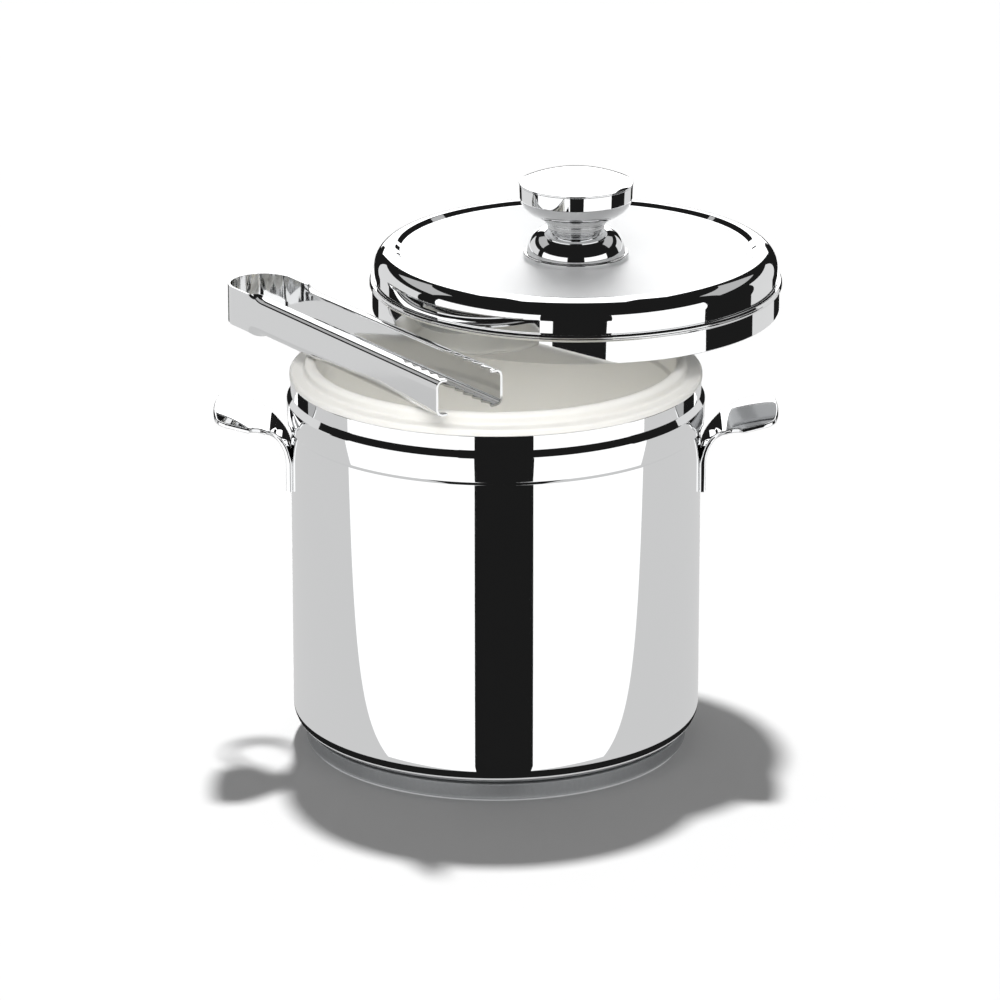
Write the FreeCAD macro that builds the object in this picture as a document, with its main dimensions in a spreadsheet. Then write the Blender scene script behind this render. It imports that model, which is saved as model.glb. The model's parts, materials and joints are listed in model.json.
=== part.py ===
"""Double-walled ice bucket with a lid, two lug handles and a pair of spring tongs.

Millimetres, +Z up. The origin is the centre of the bucket's underside, on the surface that
it stands on. +X runs through the right-hand handle, and -Y is the front.

Every driving size is a cell of the spreadsheet "sizes". Each sub-part is a body of its own
whose sketches and features are bound to those cells, so a change of one cell carries through
to whatever fits, seats on or lines up with it.
"""

import FreeCAD, Part
import math
import os

import Sketcher

DRIVING_SIZES = [
    # Bucket: base and outer shell
    ("base_plate_thickness", 0.8),
    ("base_plate_inset", 1.4),
    ("base_core_thickness", 6.5),
    ("base_core_inset", 5.0),
    ("base_core_rounding", 1.2),
    ("shell_radius", 80.0),
    ("shell_height", 142.1),
    ("shell_sheet", 0.8),
    ("shell_corner", 9.0),
    ("bead_from_rim", 19.5),
    ("bead_lower_span", 9.3),
    ("bead_upper_span", 4.5),
    ("bead_bulge", 1.5),
    # Bucket: plastic liner
    ("flange_overhang", 0.4),
    ("flange_thickness", 2.7),
    ("flange_rounding", 1.2),
    ("lip_inset", 5.5),
    ("lip_width", 4.5),
    ("lip_height", 4.5),
    ("lip_rounding", 1.9),
    ("liner_wall", 2.1),
    ("liner_taper", 4.0),
    ("liner_corner", 12.0),
    ("rib_depth", 4.0),
    ("rib_width", 1.6),
    ("rib_clearance", 0.15),
    # Bucket: insulation
    ("pad_thickness", 9.8),
    ("pad_edge_gap", 1.0),
    ("sleeve_clearance", 0.3),
    # Handles
    ("handle_sheet", 1.8),
    ("handle_foot_drop", 25.4),
    ("handle_leg_length", 11.6),
    ("handle_bend", 15.0),
    ("handle_slope_deg", 14.4),
    ("handle_reach", 30.3),
    ("leg_width", 20.0),
    ("tab_width", 39.0),
    ("tab_neck_start", 3.0),
    ("tab_neck_length", 14.0),
    ("tab_corner", 5.0),
    ("tab_end_bulge", 1.2),
    # Lid
    ("lid_sheet", 0.8),
    ("lid_overhang", 0.6),
    ("skirt_height", 9.2),
    ("seam_bulge", 1.1),
    ("seam_height", 2.6),
    ("cover_wall", 6.4),
    ("shoulder_radius", 7.6),
    ("crown_width", 4.0),
    ("crown_drop", 1.5),
    ("dish_depth", 2.5),
    ("pan_rise", 7.2),
    ("pan_rim_gap", 2.4),
    ("lid_foam_clearance", 0.5),
    ("lid_foam_edge_gap", 2.0),
    ("lid_foam_hole", 9.0),
    # Knob
    ("knob_sheet", 0.8),
    ("knob_foot_radius", 20.9),
    ("knob_foot_height", 2.1),
    ("bell_radius", 19.6),
    ("bell_dome", 11.8),
    ("bell_height", 12.2),
    ("bell_top_radius", 11.4),
    ("neck_radius", 11.2),
    ("neck_height", 3.3),
    ("neck_ring_bulge", 0.6),
    ("neck_ring_height", 0.8),
    ("collar_radius", 13.6),
    ("collar_height", 2.0),
    ("bowl_floor_radius", 16.0),
    ("bowl_curve", 7.6),
    ("bowl_waist_radius", 22.2),
    ("bowl_waist_rise", 6.7),
    ("bowl_band_height", 5.3),
    ("bowl_rim_radius", 22.4),
    ("cap_height", 5.0),
    ("cap_edge", 0.7),
    ("cap_skirt", 2.5),
    ("cap_clearance", 0.05),
    # Knob fixing
    ("screw_radius", 2.0),
    ("screw_clearance", 0.3),
    ("thread_clearance", 0.05),
    ("screw_head_radius", 4.0),
    ("screw_head_height", 2.6),
    ("screw_socket_radius", 1.5),
    ("screw_socket_depth", 1.4),
    ("screw_end_gap", 1.0),
    ("washer_radius", 8.0),
    ("washer_thickness", 1.0),
    ("insert_radius", 5.0),
    ("insert_height", 9.0),
    # Tongs
    ("tongs_sheet", 1.0),
    ("bow_radius", 13.8),
    ("bow_height", 15.5),
    ("bow_leg", 10.0),
    ("arm_gap", 0.3),
    ("arm_length", 138.3),
    ("arm_height", 14.5),
    ("arm_shoulder", 3.0),
    ("arm_flange", 5.0),
    ("arm_run_out", 12.0),
    ("arm_splay_deg", 0.5),
    ("tooth_count", 5),
    ("tooth_pitch", 6.0),
    ("tooth_depth", 1.8),
    ("tooth_lean", 1.2),
    ("tooth_from_tip", 1.5),
    # Where the loose pieces lie
    ("tongs_yaw_deg", -56.3),
    ("tongs_past_lip", 18.1),
    ("tongs_from_lip", 25.3),
    ("tongs_rest_gap", 0.3),
    ("lid_above_lip", 5.9),
    ("lid_along_tongs", 68.1),
    ("lid_tongs_gap", 8.0),
]

doc = FreeCAD.newDocument("ice_bucket")
sheet = doc.addObject("Spreadsheet::Sheet", "sizes")


class Length:
    """A length: its value now, and the spreadsheet expression that drives it."""

    def __init__(self, value, text):
        self.value = value
        self.text = text

    def __add__(self, other):
        other = length(other)
        return Length(self.value + other.value, f"({self.text} + {other.text})")

    def __sub__(self, other):
        other = length(other)
        return Length(self.value - other.value, f"({self.text} - {other.text})")

    def __mul__(self, other):
        other = length(other)
        return Length(self.value * other.value, f"({self.text} * {other.text})")

    def __truediv__(self, other):
        other = length(other)
        return Length(self.value / other.value, f"({self.text} / {other.text})")

    def __neg__(self):
        return Length(-self.value, f"(0 - {self.text})")


def length(number):
    """The number as a Length, unless it is one already."""
    if isinstance(number, Length):
        return number
    return Length(float(number), f"{float(number):.6f}")


def root(square):
    """The square root of a Length."""
    return Length(math.sqrt(square.value), f"sqrt({square.text})")


def sine(angle):
    """The sine of an angle held in degrees."""
    return Length(math.sin(math.radians(angle.value)), f"sin({angle.text} * 1 deg)")


def cosine(angle):
    """The cosine of an angle held in degrees."""
    return Length(math.cos(math.radians(angle.value)), f"cos({angle.text} * 1 deg)")


def arc_radius(run, rise):
    """The radius of an arc that starts along its run and leaves it by its rise."""
    return (run * run + rise * rise) / (rise * 2)


def fill_sheet():
    """Writes the driving sizes to the spreadsheet and returns them by name."""
    for row, (alias, value) in enumerate(DRIVING_SIZES, start=1):
        sheet.set(f"A{row}", alias)
        sheet.set(f"B{row}", str(value))
        sheet.setAlias(f"B{row}", alias)
    doc.recompute()
    return {alias: Length(float(sheet.get(alias)), f"sizes.{alias}") for alias, _ in DRIVING_SIZES}


size = fill_sheet()
ZERO = length(0)
sub_parts = []


def new_body(label):
    """An empty body that will be one sub-part."""
    body = doc.addObject("PartDesign::Body", label)
    body.Label = label
    sub_parts.append(body)
    return body


def origin_feature(body, role):
    """One of the body's own origin planes or axes."""
    return [item for item in body.Origin.OriginFeatures if item.Role == role][0]


def drive(feature, path, amount):
    """Binds one property to its driving sizes."""
    feature.setExpression(path, amount.text)


def arc_between(start, end, radius):
    """The shorter anticlockwise arc from start to end."""
    chord = end - start
    middle = (start + end) * 0.5
    inward = FreeCAD.Vector(-chord.y, chord.x, 0)
    inward.normalize()
    depth = math.sqrt(max(radius * radius - chord.Length * chord.Length / 4, 0))
    centre = middle + inward * depth
    first = math.atan2(start.y - centre.y, start.x - centre.x)
    last = math.atan2(end.y - centre.y, end.x - centre.x)
    circle = Part.Circle(centre, FreeCAD.Vector(0, 0, 1), radius)
    return Part.ArcOfCircle(circle, first, last)


def outline(body, name, role, corners):
    """A closed sketch on an origin plane, held by driving sizes at every corner.

    A corner is (across, up), reached by a straight edge, or (across, up, turn, radius),
    reached by an arc that turns left or right.
    """
    sketch = body.newObject("Sketcher::SketchObject", name)
    sketch.AttachmentSupport = [(origin_feature(body, role), "")]
    sketch.MapMode = "FlatFace"
    points = [FreeCAD.Vector(length(corner[0]).value, length(corner[1]).value, 0) for corner in corners]
    ends = []
    for index, corner in enumerate(corners):
        start = points[index - 1]
        end = points[index]
        if len(corner) == 2:
            edge = sketch.addGeometry(Part.LineSegment(start, end), False)
            ends.append((edge, 1, 2))
        elif corner[2] == "left":
            edge = sketch.addGeometry(arc_between(start, end, corner[3].value), False)
            ends.append((edge, 1, 2))
        else:
            edge = sketch.addGeometry(arc_between(end, start, corner[3].value), False)
            ends.append((edge, 2, 1))
    for index, corner in enumerate(corners):
        edge, _, leaving = ends[index]
        following, entering, _ = ends[(index + 1) % len(ends)]
        sketch.addConstraint(Sketcher.Constraint("Coincident", edge, leaving, following, entering))
        hold(sketch, "DistanceX", -2, edge, leaving, length(corner[0]))
        hold(sketch, "DistanceY", -1, edge, leaving, length(corner[1]))
        if len(corner) == 4:
            number = sketch.addConstraint(Sketcher.Constraint("Radius", edge, corner[3].value))
            drive(sketch, f"Constraints[{number}]", corner[3])
    return sketch


def hold(sketch, kind, axis, edge, end, amount):
    """Holds one coordinate of an edge's end, on the axis or at its driving size."""
    if amount.value == 0:
        sketch.addConstraint(Sketcher.Constraint("PointOnObject", edge, end, axis))
        return
    number = sketch.addConstraint(Sketcher.Constraint(kind, -1, 1, edge, end, amount.value))
    drive(sketch, f"Constraints[{number}]", amount)


def turned(label, corners):
    """A body turned about Z from a closed outline of (radius, height) corners."""
    body = new_body(label)
    sketch = outline(body, f"{label}_profile", "XZ_Plane", corners)
    revolution = body.newObject("PartDesign::Revolution", f"{label}_turn")
    revolution.Profile = sketch
    revolution.ReferenceAxis = (sketch, ["V_Axis"])
    revolution.Angle = 360
    sketch.Visibility = False
    return body


def circle_on_axis(body, name, radius):
    """A sketched circle round the body's own Z axis."""
    sketch = body.newObject("Sketcher::SketchObject", name)
    sketch.AttachmentSupport = [(origin_feature(body, "XY_Plane"), "")]
    sketch.MapMode = "FlatFace"
    circle = Part.Circle(FreeCAD.Vector(0, 0, 0), FreeCAD.Vector(0, 0, 1), radius.value)
    edge = sketch.addGeometry(circle, False)
    sketch.addConstraint(Sketcher.Constraint("Coincident", edge, 3, -1, 1))
    number = sketch.addConstraint(Sketcher.Constraint("Radius", edge, radius.value))
    drive(sketch, f"Constraints[{number}]", radius)
    return sketch


def disc(label, radius, thickness):
    """A body that is a plain round disc standing on its own origin."""
    body = new_body(label)
    pad = body.newObject("PartDesign::Pad", f"{label}_pad")
    pad.Profile = circle_on_axis(body, f"{label}_circle", radius)
    drive(pad, "Length", thickness)
    return body


def place(body, across, depth, height):
    """Stands a body's origin at a point that the driving sizes give."""
    body.Placement = FreeCAD.Placement(
        FreeCAD.Vector(across.value, depth.value, height.value), FreeCAD.Rotation()
    )
    drive(body, ".Placement.Base.x", across)
    drive(body, ".Placement.Base.y", depth)
    drive(body, ".Placement.Base.z", height)


def cut_through(body, sketch, name):
    """Pockets a sketch through the whole body, both ways, and checks that it cut."""
    doc.recompute()
    before = body.Shape.Volume
    pocket = body.newObject("PartDesign::Pocket", name)
    pocket.Profile = sketch
    pocket.Type = "ThroughAll"
    pocket.SideType = "Symmetric"
    doc.recompute()
    if body.Shape.Volume >= before:
        raise RuntimeError(f"{name} removed nothing")
    return pocket


# ---------------------------------------------------------------- shared heights and radii

shell_bottom = size["base_plate_thickness"] + size["base_core_thickness"]
shell_top = shell_bottom + size["shell_height"]
shell_inner = size["shell_radius"] - size["shell_sheet"]
shell_floor = shell_bottom + size["shell_sheet"]

flange_top = shell_top + size["flange_thickness"]
lip_top = flange_top + size["lip_height"]
lip_outer = size["shell_radius"] - size["lip_inset"]
lip_inner = lip_outer - size["lip_width"]
liner_underside = shell_floor + size["pad_thickness"]
liner_floor = liner_underside + size["liner_wall"]
liner_floor_inner = lip_inner - size["liner_taper"]
liner_floor_outer = liner_floor_inner + size["liner_wall"]
liner_top_outer = lip_inner + size["liner_wall"]
handle_end = size["shell_radius"] + size["handle_reach"]


# ---------------------------------------------------------------- bucket

def make_base():
    """Heat-spreader core under the shell, and the thin plate that closes it."""
    core_radius = size["shell_radius"] - size["base_core_inset"]
    core = turned("base_core", [
        (0, 0),
        (core_radius - size["base_core_rounding"], 0),
        (core_radius, size["base_core_rounding"], "left", size["base_core_rounding"]),
        (core_radius, size["base_core_thickness"]),
        (0, size["base_core_thickness"]),
    ])
    place(core, ZERO, ZERO, size["base_plate_thickness"])
    plate = disc("base_plate", core_radius - size["base_plate_inset"], size["base_plate_thickness"])
    place(plate, ZERO, ZERO, ZERO)


def make_outer_shell():
    """Deep-drawn shell with a rounded foot, a rolled bead and a straight collar."""
    outer = size["shell_radius"]
    sheet_metal = size["shell_sheet"]
    corner = size["shell_corner"]
    bead_low = shell_top - size["bead_from_rim"] - shell_bottom
    bead_widest = bead_low + size["bead_lower_span"]
    bead_high = bead_widest + size["bead_upper_span"]
    lower_arc = arc_radius(size["bead_lower_span"], size["bead_bulge"])
    upper_arc = arc_radius(size["bead_upper_span"], size["bead_bulge"])
    bulged = outer + size["bead_bulge"]
    body = turned("outer_shell", [
        (0, 0),
        (outer - corner, 0),
        (outer, corner, "left", corner),
        (outer, bead_low),
        (bulged, bead_widest, "left", lower_arc),
        (outer, bead_high, "left", upper_arc),
        (outer, size["shell_height"]),
        (shell_inner, size["shell_height"]),
        (shell_inner, bead_high),
        (bulged - sheet_metal, bead_widest, "right", upper_arc),
        (shell_inner, bead_low, "right", lower_arc),
        (shell_inner, corner),
        (outer - corner, sheet_metal, "right", corner - sheet_metal),
        (0, sheet_metal),
    ])
    place(body, ZERO, ZERO, shell_bottom)


def make_inner_liner():
    """Moulded liner: tapered cup, flange on the shell's rim, raised rounded lip."""
    flange_radius = size["shell_radius"] + size["flange_overhang"]
    rib_outer = shell_inner - size["rib_clearance"]
    rib_inner = rib_outer - size["rib_width"]
    rib_bottom = shell_top - size["rib_depth"]
    edge = size["flange_rounding"]
    lip = size["lip_rounding"]
    floor_curve = size["liner_corner"]
    outer_curve = floor_curve + size["liner_wall"]
    turned("inner_liner", [
        (0, liner_underside),
        (liner_floor_outer - outer_curve, liner_underside),
        (liner_floor_outer, liner_underside + outer_curve, "left", outer_curve),
        (liner_top_outer, shell_top),
        (rib_inner, shell_top),
        (rib_inner, rib_bottom),
        (rib_outer, rib_bottom),
        (rib_outer, shell_top),
        (flange_radius, shell_top),
        (flange_radius, flange_top - edge),
        (flange_radius - edge, flange_top, "left", edge),
        (lip_outer, flange_top),
        (lip_outer, lip_top - lip),
        (lip_outer - lip, lip_top, "left", lip),
        (lip_inner + lip, lip_top),
        (lip_inner, lip_top - lip, "left", lip),
        (liner_floor_inner, liner_floor + floor_curve),
        (liner_floor_inner - floor_curve, liner_floor, "right", floor_curve),
        (0, liner_floor),
    ])


def make_insulation():
    """Foam pad under the liner, and the foam sleeve round it."""
    clearance = size["sleeve_clearance"]
    pad_radius = size["shell_radius"] - size["shell_corner"] - size["pad_edge_gap"]
    pad = disc("insulation_pad", pad_radius, size["pad_thickness"])
    place(pad, ZERO, ZERO, shell_floor)
    sleeve_outer = shell_inner - clearance
    sleeve_top = shell_top - size["rib_depth"] - clearance
    turned("insulation_sleeve", [
        (liner_floor_outer + clearance, liner_underside),
        (sleeve_outer, liner_underside),
        (sleeve_outer, sleeve_top),
        (liner_top_outer + clearance, sleeve_top),
    ])


def make_handle(label, turn_deg):
    """One bent strap: a leg welded to the shell, a bend, and a broad rounded tab."""
    body = new_body(label)
    strap = size["handle_sheet"]
    bend = size["handle_bend"]
    half_leg = size["leg_width"] / 2
    half_tab = size["tab_width"] / 2
    outer = size["shell_radius"] + strap
    seat = size["shell_radius"] - root(size["shell_radius"] * size["shell_radius"] - half_leg * half_leg)
    foot = shell_top - size["bead_from_rim"] - size["handle_foot_drop"]
    bend_start = foot + size["handle_leg_length"]
    slope_sine = sine(size["handle_slope_deg"])
    slope_cosine = cosine(size["handle_slope_deg"])
    bend_centre = outer + bend
    tab_start = bend_centre - bend * slope_sine
    tab_start_height = bend_start + bend * slope_cosine
    tab_length = (handle_end - tab_start) / slope_cosine
    tab_end_height = tab_start_height + tab_length * slope_sine
    convex = bend + strap
    side = outline(body, f"{label}_side", "XZ_Plane", [
        (outer, foot),
        (outer, bend_start),
        (tab_start, tab_start_height, "right", bend),
        (handle_end, tab_end_height),
        (handle_end - strap * slope_sine, tab_end_height + strap * slope_cosine),
        (tab_start - strap * slope_sine, tab_start_height + strap * slope_cosine),
        (size["shell_radius"], bend_start, "left", convex),
        (size["shell_radius"] - seat, bend_start),
        (size["shell_radius"] - seat, foot),
    ])
    pad = body.newObject("PartDesign::Pad", f"{label}_pad")
    pad.Profile = side
    pad.SideType = "Symmetric"
    drive(pad, "Length", size["tab_width"])
    for sign in (1, -1):
        cut_through(body, tab_waste(body, label, sign, half_leg, half_tab), f"{label}_trim_{sign + 1}")
    wall = circle_on_axis(body, f"{label}_wall", size["shell_radius"])
    cut_through(body, wall, f"{label}_seat")
    body.Placement = FreeCAD.Placement(
        FreeCAD.Vector(0, 0, 0), FreeCAD.Rotation(FreeCAD.Vector(0, 0, 1), turn_deg)
    )


def tab_waste(body, label, sign, half_leg, half_tab):
    """What is trimmed off one side of the strap, seen from above."""
    def across(amount):
        return amount * sign

    first, second = ("left", "right") if sign > 0 else ("right", "left")
    neck_start = size["shell_radius"] + size["tab_neck_start"]
    neck_end = neck_start + size["tab_neck_length"]
    neck_middle = (neck_start + neck_end) / 2
    half_flare = (half_tab - half_leg) / 2
    flare = arc_radius(size["tab_neck_length"] / 2, half_flare)
    corner = size["tab_corner"]
    tip = handle_end - size["tab_end_bulge"]
    end_arc = arc_radius(half_tab - corner, size["tab_end_bulge"])
    beyond = handle_end + size["tab_width"]
    clear = half_tab + size["tab_width"]
    inside = size["shell_radius"] - size["tab_width"]
    return outline(body, f"{label}_waste_{sign + 1}", "XY_Plane", [
        (inside, across(half_leg)),
        (neck_start, across(half_leg)),
        (neck_middle, across(half_leg + half_flare), first, flare),
        (neck_end, across(half_tab), second, flare),
        (tip - corner, across(half_tab)),
        (tip, across(half_tab - corner), second, corner),
        (handle_end, 0, second, end_arc),
        (beyond, 0),
        (beyond, across(clear)),
        (inside, across(clear)),
    ])


# ---------------------------------------------------------------- lid and knob

tongs_yaw = size["tongs_yaw_deg"]
along_x = cosine(tongs_yaw)
along_y = sine(tongs_yaw)
back_x = -along_y
back_y = along_x

bow_along = -(lip_outer + size["tongs_past_lip"])
bow_back = -(lip_outer - size["tongs_from_lip"])
bow_x = along_x * bow_along + back_x * bow_back
bow_y = along_y * bow_along + back_y * bow_back

skirt_outer = size["shell_radius"] + size["lid_overhang"]
skirt_inner = skirt_outer - size["lid_sheet"]
seam_outer = skirt_outer + size["seam_bulge"]
lid_from_bow = size["bow_radius"] + seam_outer + size["lid_tongs_gap"]
lid_x = bow_x + along_x * size["lid_along_tongs"] + back_x * lid_from_bow
lid_y = bow_y + along_y * size["lid_along_tongs"] + back_y * lid_from_bow
lid_z = lip_top + size["lid_above_lip"]

shoulder_outer = skirt_inner
seam_middle = size["skirt_height"] + size["seam_height"] / 2
seam_top = size["skirt_height"] + size["seam_height"]
shoulder_start = seam_middle + size["cover_wall"]
lid_height = shoulder_start + size["shoulder_radius"]
ridge_radius = shoulder_outer - size["shoulder_radius"]
crown_radius = ridge_radius - size["crown_width"]
crown_height = lid_height - size["crown_drop"]
dish_height = crown_height - size["dish_depth"]
dish_underside = dish_height - size["lid_sheet"]
hole = size["screw_radius"] + size["screw_clearance"]


def stand_on_lid(body, height):
    """Stands a lid or knob body on the lid's axis, this far above the skirt's edge."""
    place(body, lid_x, lid_y, lid_z + height)


def make_lid_shell():
    """Pressed cover: straight shoulder, rounded edge, low crown and shallow dish."""
    sheet_metal = size["lid_sheet"]
    shoulder = size["shoulder_radius"]
    crown = arc_radius(size["crown_width"], size["crown_drop"])
    dish_run = crown_radius - size["knob_foot_radius"]
    dish = arc_radius(dish_run, size["dish_depth"])
    body = turned("lid_shell", [
        (hole, dish_underside),
        (size["knob_foot_radius"], dish_underside),
        (crown_radius, crown_height - sheet_metal, "left", dish),
        (ridge_radius, lid_height - sheet_metal, "right", crown),
        (shoulder_outer - sheet_metal, shoulder_start, "right", shoulder - sheet_metal),
        (shoulder_outer - sheet_metal, seam_middle),
        (shoulder_outer, seam_middle),
        (shoulder_outer, shoulder_start),
        (ridge_radius, lid_height, "left", shoulder),
        (crown_radius, crown_height, "left", crown),
        (size["knob_foot_radius"], dish_height, "right", dish),
        (hole, dish_height),
    ])
    stand_on_lid(body, ZERO)


def make_lid_skirt():
    """Skirt band whose top edge is rolled round the cover in a seam."""
    half_seam = size["seam_height"] / 2
    seam_arc = arc_radius(half_seam, size["seam_bulge"])
    body = turned("lid_skirt", [
        (skirt_inner, 0),
        (skirt_outer, 0),
        (skirt_outer, size["skirt_height"]),
        (seam_outer, seam_middle, "left", seam_arc),
        (skirt_outer, seam_top, "left", seam_arc),
        (skirt_inner, seam_top),
    ])
    stand_on_lid(body, ZERO)


def make_lid_inner_pan():
    """Shallow pan that closes the lid from below, held in the seam by its rim."""
    sheet_metal = size["lid_sheet"]
    rim_outer = shoulder_outer - sheet_metal
    rim_top = shoulder_start - size["pan_rim_gap"]
    body = turned("lid_inner_pan", [
        (0, size["pan_rise"]),
        (rim_outer, size["pan_rise"]),
        (rim_outer, seam_middle - sheet_metal),
        (skirt_inner, seam_middle - sheet_metal),
        (skirt_inner, seam_middle),
        (rim_outer, seam_middle),
        (rim_outer, rim_top),
        (rim_outer - sheet_metal, rim_top),
        (rim_outer - sheet_metal, size["pan_rise"] + sheet_metal),
        (0, size["pan_rise"] + sheet_metal),
    ])
    stand_on_lid(body, ZERO)


def make_lid_insulation():
    """Foam ring between the pan and the cover, open round the knob's screw."""
    pan_top = size["pan_rise"] + size["lid_sheet"]
    foam_radius = shoulder_outer - size["lid_sheet"] * 2 - size["lid_foam_edge_gap"]
    foam_top = dish_underside - size["lid_foam_clearance"]
    body = turned("lid_insulation", [
        (size["lid_foam_hole"], pan_top),
        (foam_radius, pan_top),
        (foam_radius, foam_top),
        (size["lid_foam_hole"], foam_top),
    ])
    stand_on_lid(body, ZERO)


neck_bottom = size["bell_height"]
neck_top = neck_bottom + size["neck_height"]
bowl_floor = neck_top + size["collar_height"]
bowl_waist = bowl_floor + size["bowl_waist_rise"]
bowl_rim = bowl_waist + size["bowl_band_height"]


def make_knob_base():
    """Pressed bell under the knob: rolled foot, dome and flat top."""
    sheet_metal = size["knob_sheet"]
    dome = size["bell_dome"]
    body = turned("knob_base", [
        (size["bell_radius"] - sheet_metal, 0),
        (size["knob_foot_radius"], 0),
        (size["knob_foot_radius"], size["knob_foot_height"]),
        (size["bell_radius"], size["knob_foot_height"]),
        (size["bell_top_radius"], size["bell_height"], "left", dome),
        (hole, size["bell_height"]),
        (hole, size["bell_height"] - sheet_metal),
        (size["bell_top_radius"] - sheet_metal, size["bell_height"] - sheet_metal),
        (size["bell_radius"] - sheet_metal, size["knob_foot_height"], "right", dome),
    ])
    stand_on_lid(body, dish_height)


def make_knob_neck():
    """Turned spacer with one raised ring."""
    middle = size["neck_height"] / 2
    half_ring = size["neck_ring_height"] / 2
    ring = arc_radius(half_ring, size["neck_ring_bulge"])
    body = turned("knob_neck", [
        (hole, 0),
        (size["neck_radius"], 0),
        (size["neck_radius"], middle - half_ring),
        (size["neck_radius"] + size["neck_ring_bulge"], middle, "left", ring),
        (size["neck_radius"], middle + half_ring, "left", ring),
        (size["neck_radius"], size["neck_height"]),
        (hole, size["neck_height"]),
    ])
    stand_on_lid(body, dish_height + neck_bottom)


def make_knob_bowl():
    """Pressed grip: short collar, curved underside and a flared band."""
    sheet_metal = size["knob_sheet"]
    floor = size["collar_height"]
    waist = floor + size["bowl_waist_rise"]
    rim = waist + size["bowl_band_height"]
    curve = size["bowl_curve"]
    body = turned("knob_bowl", [
        (hole, 0),
        (size["collar_radius"], 0),
        (size["collar_radius"], floor),
        (size["bowl_floor_radius"], floor),
        (size["bowl_waist_radius"], waist, "left", curve),
        (size["bowl_rim_radius"], rim),
        (size["bowl_rim_radius"] - sheet_metal, rim),
        (size["bowl_waist_radius"] - sheet_metal, waist),
        (size["bowl_floor_radius"] - sheet_metal, floor + sheet_metal, "right", curve),
        (size["collar_radius"] - sheet_metal, floor + sheet_metal),
        (size["collar_radius"] - sheet_metal, sheet_metal),
        (hole, sheet_metal),
    ])
    stand_on_lid(body, dish_height + neck_top)


def make_knob_cap():
    """Domed cap with a rolled edge, pressed into the grip's mouth."""
    sheet_metal = size["knob_sheet"]
    edge = size["cap_edge"]
    dome = arc_radius(size["bowl_rim_radius"], size["cap_height"])
    band_slope = (size["bowl_rim_radius"] - size["bowl_waist_radius"]) / size["bowl_band_height"]
    mouth = size["bowl_rim_radius"] - sheet_metal - size["cap_clearance"]
    skirt_radius = mouth - band_slope * size["cap_skirt"]
    skirt_bottom = -size["cap_skirt"]
    dome_edge = edge - sheet_metal / 2
    inner_top = size["cap_height"] + edge - sheet_metal
    inner_dome = arc_radius(mouth - sheet_metal, inner_top - dome_edge)
    body = turned("knob_cap", [
        (skirt_radius - sheet_metal, skirt_bottom),
        (skirt_radius, skirt_bottom),
        (mouth, 0),
        (size["bowl_rim_radius"], 0),
        (size["bowl_rim_radius"], edge, "left", edge),
        (0, size["cap_height"] + edge, "left", dome),
        (0, inner_top),
        (mouth - sheet_metal, dome_edge, "right", inner_dome),
    ])
    stand_on_lid(body, dish_height + bowl_rim)


def make_knob_fixing():
    """Threaded insert in the grip, and the screw and washer that hold the knob."""
    sheet_metal = size["knob_sheet"]
    bore = size["screw_radius"] + size["thread_clearance"]
    insert = turned("knob_insert", [
        (bore, 0),
        (size["insert_radius"], 0),
        (size["insert_radius"], size["insert_height"]),
        (bore, size["insert_height"]),
    ])
    insert_bottom = dish_height + neck_top + sheet_metal
    stand_on_lid(insert, insert_bottom)
    washer = turned("knob_washer", [
        (hole, 0),
        (size["washer_radius"], 0),
        (size["washer_radius"], size["washer_thickness"]),
        (hole, size["washer_thickness"]),
    ])
    washer_bottom = dish_underside - size["washer_thickness"]
    stand_on_lid(washer, washer_bottom)
    head = size["screw_head_height"]
    screw_bottom = washer_bottom - head
    shank = insert_bottom + size["insert_height"] - size["screw_end_gap"] - screw_bottom
    screw = turned("knob_screw", [
        (0, size["screw_socket_depth"]),
        (size["screw_socket_radius"], size["screw_socket_depth"]),
        (size["screw_socket_radius"], 0),
        (size["screw_head_radius"], 0),
        (size["screw_head_radius"], head),
        (size["screw_radius"], head),
        (size["screw_radius"], shank),
        (0, shank),
    ])
    stand_on_lid(screw, screw_bottom)


# ---------------------------------------------------------------- tongs

tongs_middle = lip_top + size["tongs_rest_gap"] + size["bow_height"] / 2


def make_tongs_bow():
    """The spring end: a half turn of flat strip with two short legs."""
    outer = size["bow_radius"]
    inner = outer - size["tongs_sheet"]
    leg = size["bow_leg"]
    body = new_body("tongs_bow")
    strip = outline(body, "tongs_bow_plan", "XY_Plane", [
        (leg, -inner),
        (0, -inner),
        (-inner, 0, "right", inner),
        (0, inner, "right", inner),
        (leg, inner),
        (leg, outer),
        (0, outer),
        (-outer, 0, "left", outer),
        (0, -outer, "left", outer),
        (leg, -outer),
    ])
    pad = body.newObject("PartDesign::Pad", "tongs_bow_pad")
    pad.Profile = strip
    pad.SideType = "Symmetric"
    drive(pad, "Length", size["bow_height"])
    body.Placement = FreeCAD.Placement(
        FreeCAD.Vector(bow_x.value, bow_y.value, tongs_middle.value),
        FreeCAD.Rotation(FreeCAD.Vector(0, 0, 1), tongs_yaw.value),
    )


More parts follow.
